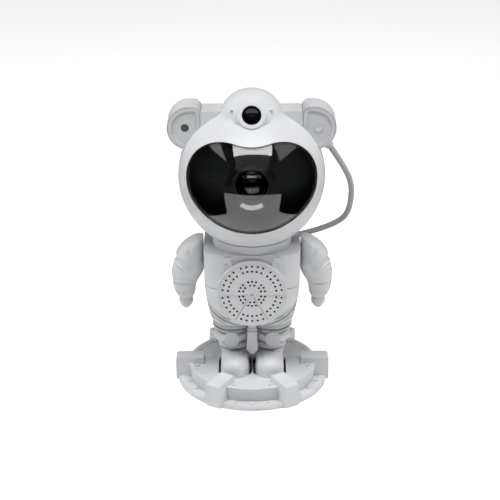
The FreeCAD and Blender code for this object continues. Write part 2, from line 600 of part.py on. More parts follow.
def build_platform():
    openings = [boot_slot(side + "_slot", sign) for side, sign in sides]
    for side, sign in sides:
        for end, y in (("toe", "- bootScrewFront"), ("heel", "bootScrewBack")):
            openings.append(cylinder("%s_%s_way" % (side, end), "screwRadius + fitGap", "2 * floorThickness",
                                     (sign + "bootX", y, "floorTop - 3 * floorThickness / 2")))
    keep("base_platform", cut("platform_open", platform(), *openings))
    keep("foot_pad", turned("foot_pad_disc", disc("padRadius", "0", "padThickness")))
    cover_top = "padThickness + coverThickness"
    cover = turned("cover_disc", disc("drumFoot - drumWall - fitGap", "padThickness", cover_top))
    post = cylinder("weight_post", "weightBore - fitGap", "weightHeight", ("0", "0", cover_top))
    heads = [cylinder("screw_pocket_%d" % turn, "screwHeadRadius + fitGap", "screwHeadHeight + 1",
                      around("baseBossCircle", turn, "padThickness - 1")) for turn in range(6)]
    shanks = [cylinder("screw_way_%d" % turn, "screwRadius + fitGap", "coverThickness + 2",
                       around("baseBossCircle", turn, "padThickness - 1")) for turn in range(6)]
    keep("base_cover", cut("cover_bored", fuse("cover_with_post", cover, post), *(heads + shanks)))
    keep("base_weight", turned("weight_ring", tube("weightBore", "weightRadius", cover_top,
                                                   cover_top + " + weightHeight")))
    screws = [screw("base_screw_%d" % turn, around("baseBossCircle", turn, "padThickness"), "up",
                    "screwLength + coverThickness - 1") for turn in range(6)]
    return screws


def build_legs():
    """Boots screwed to the floor from below, and the legs that stand in them."""
    screws, limbs, pads, boots = [], [], [], []
    under = "floorTop - floorThickness - screwHeadHeight"
    for side, sign in sides:
        limb = leg(side + "_leg_turning", sign)
        limbs.append(limb)
        pads.append(knee_pad(side + "_knee_pad_cut", sign, limb))
        pilots = []
        for end, y in (("toe", "- bootScrewFront"), ("heel", "bootScrewBack")):
            where = (sign + "bootX", y, under)
            screws.append(screw("%s_%s_screw" % (side, end), where, "up", "bootScrewLength"))
            pilots.append(cylinder("%s_%s_pilot" % (side, end), "screwRadius", "bootScrewLength + 1", where))
        boots.append(cut(side + "_boot_fitted", boot(side + "_boot_upper", sign), limb, *pilots))
    keep("legs", group("leg_pair", limbs))
    keep("knee_pads", group("knee_pad_pair", pads))
    keep("boots", group("boot_pair", boots))
    return limbs, screws


def build_torso(limbs):
    outside, inside = trunk_form("trunk"), trunk_form("trunk_inside", " - torsoWall", "torsoWall")
    seam_core = trunk_form("trunk_seam_core", " - seamDepth")
    relief = trunk_form("trunk_relief", " + reliefHeight")
    seams = [seam("waist_seam", seam_core, "waistSeamZ", "0"),
             seam("hem_seam", seam_core, "hemSeamZ", "hemSeamSlope")]
    front, rear = halves("trunk", cut("trunk_seamed", outside, *seams), "0")

    seat = cylinder("grille_seat", "grilleRadius", "grillePlane / 2", ("0", "- grillePlane / 2", "grilleZ"),
                    "front")
    patches = []
    for side, sign in sides:
        centre = sign + "buckleX"
        patches.append(block(side + "_buckle", (centre + " - buckleWidth / 2", "- 2 * chestHalfDepth",
                                                "buckleZ - buckleHeight / 2"),
                             (centre + " + buckleWidth / 2", "0", "buckleZ + buckleHeight / 2")))
        strap = block(side + "_brace", ("0", "0", "0"), ("strapWidth", "2 * chestHalfDepth", "grilleRadius / 2"))
        patches.append(lean(strap, Vector(0, 1, 0), minus(sign + "strapLean"),
                            (centre + " - strapWidth / 2", "- 2 * chestHalfDepth", "buckleZ - grilleRadius / 2")))
    strip = block("crotch_strip", ("- crotchStripWidth / 2", "- 2 * chestHalfDepth", "hipZ"),
                  ("crotchStripWidth / 2", "0", "crotchStripHigh"))
    raised = common("raised_trim", relief, fuse("trim_patches", strip, *patches))
    tongue = block("crotch_tongue", ("- crotchStripWidth / 2", "- hipHalfDepth - reliefHeight", "crotchStripLow"),
                   ("crotchStripWidth / 2", "- hipHalfDepth / 2", "hipZ"))
    flap = new_body("crotch_flap")
    flap_line = outline(sketch_on(flap, "XZ_Plane", "flap_line", "hipHalfDepth + reliefHeight - flapThickness"), [
        ("0", "flapTip"), ("flapTipWidth / 2", "flapTip + flapTipRise"), ("flapWidth / 2", "flapWidest"),
        ("crotchStripWidth / 2", "hipZ"), ("- crotchStripWidth / 2", "hipZ"), ("- flapWidth / 2", "flapWidest"),
        ("- flapTipWidth / 2", "flapTip + flapTipRise")])
    pad(flap, flap_line, "flap_pad", "flapThickness")
    clips = [block("strap_clip_%d" % turn, ("- clipWidth / 2", "- hipHalfDepth - reliefHeight - clipRise",
                                            "crotchStripLow + %d * clipPitch" % turn),
                   ("clipWidth / 2", "- hipHalfDepth", "crotchStripLow + %d * clipPitch + clipHeight" % turn))
             for turn in (0, 1)]
    front_skin = cut("front_skin", fuse("front_with_trim", front, seat, raised), inside)
    rear_skin = cut("rear_skin", rear, inside)

    front_bosses, rear_bosses, pilots, ways, screws = [], [], [], [], []
    for side, sign in sides:
        for level in ("torsoBossLow", "torsoBossHigh"):
            name = "%s_%s" % (side, level)
            middle = (sign + "torsoBossX", "0", level)
            front_bosses.append(cylinder(name + "_front", "torsoBossRadius", "chestHalfDepth", middle, "front"))
            rear_bosses.append(cylinder(name + "_rear", "torsoBossRadius", "chestHalfDepth", middle, "back"))
            pilots.append(cylinder(name + "_pilot", "screwRadius", "torsoScrewLength - torsoScrewSeat", middle,
                                   "front"))
            seat_at = (sign + "torsoBossX", "torsoScrewSeat", level)
            ways.append(cylinder(name + "_way", "screwRadius + fitGap", "torsoScrewSeat", middle, "back"))
            ways.append(cylinder(name + "_recess", "screwHeadRadius + fitGap", "chestHalfDepth", seat_at, "back"))
            head_at = (sign + "torsoBossX", "torsoScrewSeat + screwHeadHeight", level)
            screws.append(screw(name + "_screw", head_at, "front", "torsoScrewLength"))
    for side, sign in sides:
        for level in ("mainBoardLow + standoffInset", "mainBoardHigh - standoffInset"):
            foot = (sign + "(mainBoardHalfWidth - standoffInset)", "mainBoardY + boardThickness", level)
            rear_bosses.append(cylinder(side + "_standoff", "standoffRadius", "chestHalfDepth", foot, "back"))
    shelf = block("socket_shelf", ("- socketBoardHalf / 3", "socketBoardFront + 1", "hipZ"),
                  ("socketBoardHalf / 3", "socketBoardBack - 1", "socketZ - socketHeight / 2 - boardThickness"))
    neck_way = cylinder("neck_way", "seatPlugRadius + fitGap", "2 * torsoWall",
                        ("0", "0", "torsoTop - 2 * torsoWall + 1"))
    bores = [cylinder(side + "_shoulder_bore", "shoulderPinRadius + runningGap", "4 * torsoWall",
                      (sign + "(chestHalfWidth - 2 * torsoWall)", "0", "shoulderZ"), side) for side, sign in sides]
    mouth = cylinder("speaker_mouth", "speakerOpening", "2 * grillePlane", ("0", "- grillePlane / 2", "grilleZ"),
                     "front")
    half_w, half_h = "socketWidth / 2 + fitGap", "socketHeight / 2 + fitGap"
    socket_way = block("socket_way", (minus(half_w), "socketBoardBack", "socketZ " + minus(half_h)),
                       (half_w, "2 * chestHalfDepth", "socketZ + " + half_h))

    front_inner = common("front_boss_set", outside, fuse("front_boss_rods", *front_bosses))
    rear_inner = common("rear_boss_set", outside, fuse("rear_boss_rods", shelf, *rear_bosses))
    keep("torso_front", cut("torso_front_shell", fuse("torso_front_form", front_skin, front_inner, tongue, flap, *clips),
                            neck_way, mouth, *(bores + pilots + limbs)))
    keep("torso_rear", cut("torso_rear_shell", fuse("torso_rear_form", rear_skin, rear_inner),
                           neck_way, socket_way, *(bores + ways + limbs)))
    return outside, screws


def build_neck():
    """Cup that the head rests in, with a loose magnet in a pocket under it."""
    rim = cylinder("seat_rim", "seatRadius", "seatRise", ("0", "0", "torsoTop"))
    plug = cylinder("seat_plug", "seatPlugRadius", "torsoTop - seatFloor", ("0", "0", "seatFloor"))
    dish = ball("seat_dish", "headRadius + movingGap", ("0", "0", "headZ"))
    pocket_height = "headZ - headRadius - movingGap - seatSkin - seatFloor"
    pocket = cylinder("magnet_pocket", "magnetRadius + magnetGap", pocket_height, ("0", "0", "seatFloor"))
    keep("neck_seat", cut("neck_seat_cup", fuse("seat_form", rim, plug), dish, pocket))
    keep("neck_magnet", cylinder("neck_magnet_disc", "magnetRadius", pocket_height + " - 2 * magnetGap",
                                 ("0", "0", "seatFloor + magnetGap")))
    keep("magnet_cap", cylinder("magnet_cap_disc", "magnetCapRadius", "magnetCapHeight",
                                ("0", "0", "seatFloor - magnetCapHeight")))


def build_speaker():
    top = "grilleThickness + lipHeight"
    field = turned("grille_disc", [("0", "0"), ("grilleRadius", "0"), ("grilleRadius", top),
                                   ("grilleRadius - lipWidth", top), ("grilleRadius - lipWidth", "grilleThickness"),
                                   ("hubRadius", "grilleThickness"), ("hubRadius", top), ("hubDimple", top),
                                   ("hubDimple", "grilleThickness"), ("0", "grilleThickness")],
                   ("0", "- grillePlane", "grilleZ"), "front")
    face = "grillePlane + grilleThickness"
    rib = block("grille_rib", ("- grilleRadius + lipWidth / 2", minus(face) + " - ribHeight",
                               "grilleZ - ribWidth / 2"),
                ("grilleRadius - lipWidth / 2", minus(face), "grilleZ + ribWidth / 2"))
    dimple = cylinder("grille_dimple", "hubDimple", "2 * lipHeight", ("0", minus(face), "grilleZ"), "front")
    drills = []
    rings = (("outerHoleRing", "outerHoleStep", 5), ("secondHoleRing", "outerHoleStep", 5),
             ("thirdHoleRing", "thirdHoleStep", 3), ("innerHoleRing", "innerHoleStep", 2))
    for sector in range(6):
        for ring, step, holes in rings:
            for hole in range(holes):
                angle = "(30 + %d * 60 + %s * %s)" % (sector, hole - (holes - 1) / 2, step)
                where = ("%s * cos%s" % (ring, angle), "- grillePlane + grilleThickness / 2",
                         "grilleZ + %s * sin%s" % (ring, angle))
                drills.append(cylinder("hole_%d_%s_%d" % (sector, ring, hole), "grilleHoleRadius",
                                       "2 * grilleThickness", where, "front"))
    grooves = []
    for side, turn in (("left", "150"), ("right", "- 150")):
        groove = block(side + "_groove", ("0", "0", "0"), ("grooveWidth", "2 * grooveDepth", "grilleRadius"))
        grooves.append(lean(groove, Vector(0, 1, 0), turn, ("0", minus(face) + " - grooveDepth", "grilleZ")))
    keep("speaker_grille", cut("grille_pierced", fuse("grille_form", field, rib), dimple,
                               group("grille_drills", drills), *grooves))

    front = ("0", "- grillePlane", "grilleZ")
    bowl, edge = "surroundRadius", "- basketFlange - coneWall"
    keep("speaker_basket", turned("basket_turning", [
        ("coneNeck + 1", "- basketDepth"), ("basketNeck", "- basketDepth"),
        ("basketRadius - basketWall", edge), ("speakerOpening - fitGap", edge),
        ("speakerOpening - fitGap", "0"), (bowl, "0"), (bowl, edge),
        ("basketNeck - basketWall", "- basketDepth + basketWall"),
        ("coneNeck + 1", "- basketDepth + basketWall")], front, "front"))
    roll = turned("surround_turning", [
        ("coneRadius", "- basketFlange - coneWall"), ("surroundRadius", "- basketFlange - coneWall"),
        ("surroundRadius", "- basketFlange", "surroundSwell"), ("coneRadius", "- basketFlange")], front, "front")
    deep = edge + " - coneDepth"
    cone = turned("cone_turning", [
        ("0", deep), ("coneNeck", deep), ("coneRadius", edge), ("coneRadius", "- basketFlange"),
        ("coneNeck", deep + " + 2 * coneWall"), ("0", deep + " + 2 * coneWall")], front, "front")
    keep("speaker_cone", fuse("cone_with_roll", cone, roll))
    keep("speaker_magnet", turned("magnet_turning", disc("driverMagnetRadius", "- basketDepth - driverMagnetHeight",
                                                         "- basketDepth"), front, "front"))


def build_arms():
    """Arms, each with a flanged pin that turns in the shoulder bore."""
    start = "chestHalfWidth - torsoWall - axialGap - pinFlangeHeight"
    length = "torsoWall + axialGap + pinFlangeHeight + movingGap + pinReach"
    for side, sign in sides:
        profile = [("0", "0"), ("pinFlangeRadius", "0"), ("pinFlangeRadius", "pinFlangeHeight"),
                   ("shoulderPinRadius", "pinFlangeHeight"), ("shoulderPinRadius", length), ("0", length)]
        pin = turned(side + "_pin_turning", profile, (sign + "(%s)" % start, "0", "shoulderZ"), side)
        keep(side + "_arm", arm(side + "_sleeve", sign, pin))


def rounded_box(name, half_x, half_y, corner, height, edge, where, direction):
    """Rounded pad whose far edge is rounded too."""
    body = new_body(name)
    last = pad(body, outline(sketch_on(body, "XY_Plane", name + "_line"), rounded(half_x, half_y, corner)),
               name + "_pad", height)
    if edge:
        doc.recompute()
        far = ["Edge%d" % index for index, line in enumerate(last.Shape.Edges, start=1)
               if all(abs(tip.Z - number(height)) < 0.01 for tip in line.Vertexes)]
        rounding = body.newObject("PartDesign::Fillet", name + "_edge")
        rounding.Base = (last, far)
        bind(rounding, "Radius", edge)
        body.Tip = rounding
    return place(body, where, direction)


def push_button(name, radius, length, where, direction, dish=None):
    """Button with a flange at its inner end; the place is the middle of the flange's inner face."""
    edge = radius + " + buttonFlangeWidth"
    profile = [("0", "0"), (edge, "0"), (edge, "buttonFlange"), (radius, "buttonFlange"), (radius, length)]
    if dish:
        profile += [(radius + " - " + dish, length), ("0", length + " - " + dish)]
    else:
        profile += [("0", length)]
    return turned(name, profile, where, direction)


def build_back(trunk):
    """Backpack cover with three buttons, the boards behind them and the power socket."""
    middle = "packLow / 2 + packHigh / 2"
    half_height = "packHigh / 2 - packLow / 2"
    depth = "packBack - bellyHalfDepth / 2"
    case = rounded_box("pack_case", "packHalfWidth", half_height, "packRound", depth, "packEdge",
                       ("0", "bellyHalfDepth / 2", middle), "back")
    room = rounded_box("pack_room", "packHalfWidth - packWall", half_height + " - packWall", "packRound - packWall",
                       depth + " - packWall", None, ("0", "bellyHalfDepth / 2", middle), "back")
    flange_face = "packBack - packWall - axialGap"
    board_back = flange_face + " - buttonFlange - buttonTravel - runningGap * 3 - switchHeight"
    posts, ways, switches = [], [], []
    for turn in (-1, 1):
        for rise in (-1, 1):
            foot = ("%d * buttonPitch / 2" % turn, board_back, "buttonZ + %d * packPostRise" % rise)
            posts.append(cylinder("pack_post", "packPostRadius", "packBack - packWall / 2 - (%s)" % board_back, foot,
                                  "back"))
    for name, turn in (("star_button", -1), ("nebula_button", 0), ("speaker_button", 1)):
        x = "%d * buttonPitch" % turn
        ways.append(cylinder(name + "_way", "buttonRadius + runningGap", "3 * packWall",
                             (x, "packBack - 2 * packWall", "buttonZ"), "back"))
        inner = flange_face + " - buttonFlange"
        keep(name, push_button(name + "_turning", "buttonRadius", "packWall + axialGap + buttonFlange + buttonProud",
                               (x, inner, "buttonZ"), "back"))
        switches.append(block(name + "_switch", (x + " - switchHalf", board_back, "buttonZ - switchHalf"),
                              (x + " + switchHalf", board_back + " + switchHeight", "buttonZ + switchHalf")))
    board = block("button_board_sheet", ("- buttonBoardHalfWidth", board_back + " - boardThickness",
                                         "buttonZ - buttonBoardHalfHeight"),
                  ("buttonBoardHalfWidth", board_back, "buttonZ + buttonBoardHalfHeight"))
    keep("button_board", fuse("button_board_form", board, *switches))
    keep("backpack_cover", cut("pack_shell", fuse("pack_with_posts", cut("pack_hollow", case, room), *posts),
                               trunk, *ways))

    main = block("main_board_sheet", ("- mainBoardHalfWidth", "mainBoardY", "mainBoardLow"),
                 ("mainBoardHalfWidth", "mainBoardY + boardThickness", "mainBoardHigh"))
    chips = []
    for index, (x, z, wide, high) in enumerate(((-11, 72, 4, 4), (9, 70, 7, 5), (-10, 90, 3, 2.5), (8, 91, 5, 3))):
        chips.append(block("main_chip_%d" % index,
                           ("%d - %s" % (x, wide), "mainBoardY - chipHeight", "%d - %s" % (z, high)),
                           ("%d + %s" % (x, wide), "mainBoardY", "%d + %s" % (z, high))))
    keep("body_circuit_board", fuse("main_board_form", main, *chips))

    socket_front = "socketBack - socketDepth"
    shell = new_body("socket_shell")
    tube_line = outline(sketch_on(shell, "XY_Plane", "socket_line"),
                        rounded("socketWidth / 2", "socketHeight / 2", "socketCorner"))
    pad(shell, tube_line, "socket_pad", "socketDepth")
    mouth = outline(sketch_on(shell, "XY_Plane", "socket_mouth", "socketDepth"),
                    rounded("socketWidth / 2", "socketHeight / 2", "socketCorner", " - socketWall"))
    pad(shell, mouth, "socket_pocket", "socketDepth - 2 * socketWall", kind="Pocket")
    place(shell, ("0", socket_front, "socketZ"), "back")
    tongue = block("socket_tongue", ("- socketWidth / 3", socket_front + " + socketWall", "socketZ - socketWall"),
                   ("socketWidth / 3", "socketBack - 2 * socketWall", "socketZ + socketWall"))
    under = "socketZ - socketHeight / 2"
    board = block("socket_board_sheet", ("- socketBoardHalf", "socketBoardFront", under + " - boardThickness"),
                  ("socketBoardHalf", "socketBoardBack", under))
    keep("power_socket", fuse("socket_form", shell, tongue, board))


lobe_x = number("visorHalfWidth - visorSideRadius")
step = number("visorBottomRadius - visorSideRadius")
fall = math.sqrt(step ** 2 - lobe_x ** 2)
lobe_z = number("visorBottomRadius - visorDrop") - fall
gap = number("visorDip - visorSideRadius")
dip_z = (gap ** 2 - lobe_z ** 2 - lobe_x ** 2) / (2 * (gap - lobe_z))
work_out("visorLobeX", "visorHalfWidth - visorSideRadius", lobe_x)
work_out("visorStep", "visorBottomRadius - visorSideRadius", step)
work_out("visorFall", "sqrt(visorStep ^ 2 - visorLobeX ^ 2)", fall)
work_out("visorLobeZ", "visorBottomRadius - visorDrop - visorFall", lobe_z)
work_out("visorGapZ", "visorDip - visorSideRadius", gap)
work_out("visorDipZ", "(visorGapZ ^ 2 - visorLobeZ ^ 2 - visorLobeX ^ 2) / (2 * (visorGapZ - visorLobeZ))", dip_z)
work_out("visorDipRadius", "visorDipZ - visorDip", dip_z - number("visorDip"))
work_out("visorReach", "visorDipRadius + visorSideRadius", dip_z - number("visorDip") + number("visorSideRadius"))
work_out("visorRise", "visorDipZ - visorLobeZ", dip_z - lobe_z)


def visor_prism(name, sign="", cell=""):
    """Prism along Y through the visor outline, with the outline moved out or in by a cell."""
    change = " %s %s" % (sign, cell) if cell else ""
    back = " %s %s" % ("-" if sign == "+" else "+", cell) if cell else ""

    def share(span, reach):
        text = "%s * visorSideRadius / %s" % (span, reach)
        return text + (" %s %s * %s / %s" % (sign, span, cell, reach) if cell else "")

    low = ("visorLobeX + " + share("visorLobeX", "visorStep"), "visorLobeZ " + minus(share("visorFall", "visorStep")))
    top = ("visorLobeX " + minus(share("visorLobeX", "visorReach")),
           "visorLobeZ + " + share("visorRise", "visorReach"))
    body = new_body(name)
    line = outline(sketch_on(body, "XZ_Plane", name + "_line"),
                   [(minus(low[0]), low[1], "visorBottomRadius" + change),
                    (low[0], low[1], "visorSideRadius" + change),
                    (top[0], top[1], "visorDipRadius" + back, "inwards"),
                    (minus(top[0]), top[1], "visorSideRadius" + change)])
    pad(body, line, name + "_pad", "headRadius + headWall")
    return place(body, ("0", "0", "headZ"))


def aimed(shape):
    """Puts a turret piece on the line that leans back from the forehead dome's middle."""
    return lean(shape, Vector(1, 0, 0), "90 - turretTilt", ("0", "domeY", "domeZ"))


def reversed_change(change):
    """A signed change such as ' - cell' with every sign turned."""
    return change.translate(str.maketrans("+-", "-+"))


def ear_prism(name, change, front, back, round_back=False):
    """Ear outline between two planes across Y, on the right side, with its sides moved."""
    body = new_body(name)
    sketch = sketch_on(body, "XZ_Plane", name + "_line", minus(back))
    radius, corner = "earRadius" + change, "earCornerRound" + change
    inner = "earInner" + reversed_change(change)
    outline(sketch, [("earX", "earZ " + minus(radius), radius), ("earX + " + radius, "earZ", radius),
                     ("earX", "earZ + " + radius), (inner + " + " + corner, "earZ + " + radius, corner),
                     (inner, "earZ + " + radius + " " + minus(corner)), (inner, "earZ " + minus(radius))])
    last = pad(body, sketch, name + "_pad", back + " " + minus(front))
    if round_back:
        doc.recompute()
        rear = ["Edge%d" % index for index, line in enumerate(last.Shape.Edges, start=1)
                if all(abs(tip.Y - number(back)) < 0.01 for tip in line.Vertexes)]
        rounding = body.newObject("PartDesign::Fillet", name + "_round")
        rounding.Base = (last, rear)
        bind(rounding, "Radius", "earBackRound")
        body.Tip = rounding
    return body


def build_head():
    """Shells, visor, ears and the magnet under the head. Everything here tilts together."""
    rear_radius = "headRadius - rearInset"
    centre = ("0", "0", "headZ")
    outer, inner = ball("head_outer", "headRadius", centre), ball("head_inner", "headRadius - headWall", centre)
    rear_outer = ball("rear_outer", rear_radius, centre)
    rear_inner = ball("rear_inner", rear_radius + " - headWall", centre)
    dome_ball = ball("dome_outer", "domeRadius", ("0", "domeY", "domeZ"))
    turret_bore = aimed(cylinder("turret_bore", "ringRadius", "2 * domeRadius"))

    plate_back = "partingY + plateThickness"
    front_bosses, rear_bosses, pilots, ways, screws = [], [], [], [], []
    for side, sign in sides:
        for level in ("chin", "cheek"):
            name = "%s_%s" % (side, level)
            x, z = sign + level + "BossX", "headZ - %sBossDrop" % level
            joint = (x, "partingY", z)
            front_bosses.append(cylinder(name + "_front", "headBossRadius", "headRadius", joint, "front"))
            rear_bosses.append(cylinder(name + "_rear", "headBossRadius", "headRadius", (x, plate_back, z), "back"))
            pilots.append(cylinder(name + "_pilot", "screwRadius", "screwLength", joint, "front"))
            ways.append(cylinder(name + "_way", "screwRadius + fitGap", "2 * headScrewSeat", joint, "back"))
            ways.append(cylinder(name + "_recess", "screwHeadRadius + fitGap", "headRadius",
                                 (x, plate_back + " + headScrewSeat", z), "back"))
            head_at = (x, plate_back + " + headScrewSeat + screwHeadHeight", z)
            screws.append(screw(name + "_screw", head_at, "front",
                                "screwHeadHeight + headScrewSeat + plateThickness + screwLength - 1"))
    keep("head_screws", group("head_screw_set", screws))

    front_side = block("head_front_side", ("- 2 * headRadius", "- 2 * headRadius", "headZ - 2 * headRadius"),
                       ("2 * headRadius", "partingY", "headZ + 2 * headRadius"))
    front_solid = common("front_skull_solid", outer, front_side)
    front_skin = cut("front_skull", front_solid, inner)
    front_inner = common("front_head_bosses", outer, fuse("front_head_rods", *front_bosses))
    keep("head_front_shell", cut("head_front", fuse("head_front_form", front_skin, front_inner),
                                 visor_prism("visor_opening"), dome_ball, turret_bore, *pilots))

    visor_outer = ball("visor_outer", "headRadius - visorRecess", centre)
    bezel_inner = ball("bezel_inner", "headRadius - headWall - bezelThickness", centre)
    visor_block = common("visor_block", visor_outer, visor_prism("visor_line", "-", "visorGap"), front_side)
    keep("visor", cut("visor_shell", visor_block, inner))
    bezel_block = common("bezel_block", inner, visor_prism("bezel_line", "+", "bezelWidth"), front_side)
    keep("visor_bezel", cut("bezel_shell", bezel_block, bezel_inner, visor_prism("bezel_window", "-", "bezelWidth")))

    ear_back_inside = "earBack - earWall"
    cup_front = "earFront + earCoverThickness"
    right_cup = ear_prism("ear_cup", "", "earFront", "earBack", True)
    right_seat = cut("ear_cover_seat", ear_prism("ear_seat_prism", " - earLip", "earFront - 1", cup_front),
                     rear_outer)
    right_room = cut("ear_room", ear_prism("ear_room_prism", " - earWall", cup_front + " - 1", ear_back_inside),
                     rear_outer)
    bar = block("ear_bar", ("- earInner", "barY - barHalfDepth", "barBottom"),
                ("earInner", "barY + barHalfDepth", "barTop"))
    rear_solid = fuse("rear_solid", rear_outer, bar, right_cup, mirrored("left_ear_cup", right_cup))
    cheek = cut("rear_block", rear_solid, front_side)
    magnet_low = "headZ - headRadius + headMagnetRise"
    magnet_seat = cylinder("magnet_seat", "magnetRadius + magnetWall", "headMagnetRise + headMagnetHeight",
                           ("0", "0", "headZ - headRadius"))
    magnet_room = cylinder("head_magnet_room", "magnetRadius", "2 * headMagnetHeight", ("0", "0", magnet_low))
    for side, sign in sides:
        for level in ("- headBoardHalfHeight + standoffInset", "+ headBoardHalfHeight - standoffInset"):
            foot = (sign + "(headBoardHalfWidth - standoffInset)", "headBoardY + boardThickness", "headZ " + level)
            rear_bosses.append(cylinder(side + "_board_post", "standoffRadius", "headRadius", foot, "back"))
    rear_fill = common("rear_head_bosses", rear_outer, fuse("rear_head_rods", magnet_seat, *rear_bosses))
    switch_front = cup_front + " + axialGap + buttonFlange + earButtonTravel + 3 * runningGap"
    switch_back = switch_front + " + earSwitchDepth"
    ear_post = cylinder("ear_post", "earPostRadius", "earBack - earWall / 2 - (%s)" % switch_back,
                        ("windowX", switch_back, "windowZ"), "back")
    hollow = cut("rear_hollow", cheek, rear_inner, right_room, mirrored("left_ear_room", right_room), right_seat,
                 mirrored("left_ear_seat", right_seat))
    keep("head_rear_shell", cut("head_rear", fuse("head_rear_form", hollow, rear_fill, ear_post),
                                magnet_room, dome_ball, *ways))
    keep("head_magnet", cylinder("head_magnet_disc", "magnetRadius", "headMagnetHeight", ("0", "0", magnet_low)))

    cover = ear_prism("ear_cover_plate", " - earLip - fitGap", "earFront", cup_front)
    dent = ear_prism("ear_cover_dent", " - earLip - earRimWidth", "earFront - 1", "earFront + earRecess")
    dished = cut("ear_cover_dished", cover, dent, rear_outer)
    window_way = cylinder("window_way", "windowRadius", "2 * earCoverThickness",
                          ("- windowX", "earFront - 1", "windowZ"), "back")
    button_way = cylinder("ear_button_way", "earButtonRadius + runningGap", "2 * earCoverThickness",
                          ("windowX", "earFront - 1", "windowZ"), "back")
    keep("left_ear_cover", cut("left_cover_bored", mirrored("left_cover", dished), window_way))
    keep("right_ear_cover", cut("right_cover_bored", dished, button_way))
    eye = cylinder("ir_window_disc", "windowRadius", "windowDepth",
                   ("- windowX", cup_front + " - windowDepth", "windowZ"), "back")
    sensor = block("ir_receiver_block", ("- windowX - receiverHalf", cup_front, "windowZ - receiverHalf"),
                   ("- windowX + receiverHalf", cup_front + " + receiverDepth", "windowZ + receiverHalf"))
    keep("ir_receiver", fuse("ir_receiver_form", eye, sensor))
    button_length = "earCoverThickness - earRecess + axialGap + buttonFlange + earButtonDish"
    keep("ear_button", push_button("ear_button_turning", "earButtonRadius", button_length,
                                   ("windowX", cup_front + " + axialGap + buttonFlange", "windowZ"), "front",
                                   "earButtonDish"))
    keep("ear_switch", block("ear_switch_block", ("windowX - switchHalf", switch_front, "windowZ - switchHalf"),
                             ("windowX + switchHalf", switch_back, "windowZ + switchHalf")))

    dome_skin = cut("dome_skin", dome_ball, ball("dome_inner", "domeRadius - domeWall", ("0", "domeY", "domeZ")),
                    inner, turret_bore)
    keep("forehead_dome", fuse("dome_with_blend", dome_skin, dome_blend(front_solid, rear_outer, dome_ball)))
    build_turret(dome_ball, outer)
    return rear_inner


def dome_blend(front_solid, rear_outer, dome_ball):
    """Hollow-cornered ring that runs the head's surface into the dome, in front of and behind the ear bar."""
    rise = "(domeZ - headZ)"
    apart = math.hypot(number("domeY"), number("domeZ - headZ"))
    head, dome = number("headRadius + domeBlend"), number("domeRadius + domeBlend")
    along = (head ** 2 - dome ** 2 + apart ** 2) / (2 * apart)
    across = math.sqrt(head ** 2 - along ** 2)
    work_out("domeApart", "sqrt(domeY ^ 2 + (domeZ - headZ) ^ 2)", apart)
    work_out("blendReach", "headRadius + domeBlend", head)
    work_out("blendSpan", "domeRadius + domeBlend", dome)
    work_out("blendAlong", "(blendReach ^ 2 - blendSpan ^ 2 + domeApart ^ 2) / (2 * domeApart)", along)
    work_out("blendAcross", "sqrt(blendReach ^ 2 - blendAlong ^ 2)", across)
    low = ("blendAcross * headRadius / blendReach", "blendAlong * headRadius / blendReach")
    high = ("blendAcross * domeRadius / blendSpan",
            "domeApart + blendAlong * domeRadius / blendSpan - domeApart * domeRadius / blendSpan")
    ring = turned("blend_turning", [(low[0], low[1], "domeBlend", "inwards"), high, (high[0], low[1])])
    lean(ring, Vector(1, 0, 0), "atan(- domeY / %s)" % rise, ("0", "0", "headZ"))
    bar_way = block("blend_bar_way", ("- earInner", "barY - barHalfDepth", "barBottom"),
                    ("earInner", "barY + barHalfDepth", "barTop + domeBlend"))
    collar_way = aimed(cylinder("blend_collar_way", "collarRadius", "2 * domeRadius"))
    return cut("forehead_blend", ring, front_solid, rear_outer, dome_ball, bar_way, collar_way)


def build_turret(dome_ball, skull):
    """Star projector in the forehead dome: collar, lens ring, lens and laser with its grating."""
    collar = new_body("collar_turning")
    profile = [("ringRadius", "collarBase"), ("collarRadius", "collarBase"),
               ("collarRadius", "collarTop - collarEdge"), ("collarRadius - collarEdge", "collarTop"),
               ("ringRadius", "collarTop")]
    revolve(collar, outline(sketch_on(collar, "XZ_Plane", "collar_profile"), profile), "collar_form")
    pegs = sketch_on(collar, "YZ_Plane", "peg_circle")
    circle(pegs, "pegRise", "pegHeight", "pegRadius")
    pad(collar, pegs, "pegs", "2 * collarRadius + 2 * pegLength", "Symmetric")
    aimed(collar)
    bore = aimed(cylinder("collar_bore", "ringRadius", "2 * domeRadius"))
    keep("turret_collar", cut("collar_fitted", collar, dome_ball, skull, bore))

    lens_top = "ringTop - starLensRecess"
    lens_back = lens_top + " - starLensThickness"
    laser_top = lens_back + " - gratingThickness"
    keep("turret_ring", aimed(turned("ring_turning", [
        ("laserRadius", "ringBase"), ("ringRadius", "ringBase"), ("ringRadius", "ringTop - ringBevel"),
        ("ringRadius - ringBevel", "ringTop"), ("starLensRadius", "ringTop"), ("starLensRadius", laser_top),
        ("laserRadius", laser_top)])))
    radius, curve = number("starLensRadius"), number("starLensCurve")
    work_out("starLensRise", "starLensCurve - sqrt(starLensCurve ^ 2 - starLensRadius ^ 2)",
             curve - math.sqrt(curve ** 2 - radius ** 2))
    keep("star_lens", aimed(turned("star_lens_turning", [
        ("0", lens_back), ("starLensRadius", lens_back),
        ("starLensRadius", lens_top + " - starLensRise", "starLensCurve"), ("0", lens_top)])))
    low = laser_top + " - laserLength"
    keep("laser_module", aimed(turned("laser_turning", [
        ("0", low), ("laserRadius - laserStep", low), ("laserRadius - laserStep", low + " + laserStep * 2"),
        ("laserRadius", low + " + laserStep * 2"), ("laserRadius", laser_top), ("starLensRadius", laser_top),
        ("starLensRadius", lens_back), ("0", lens_back)])))


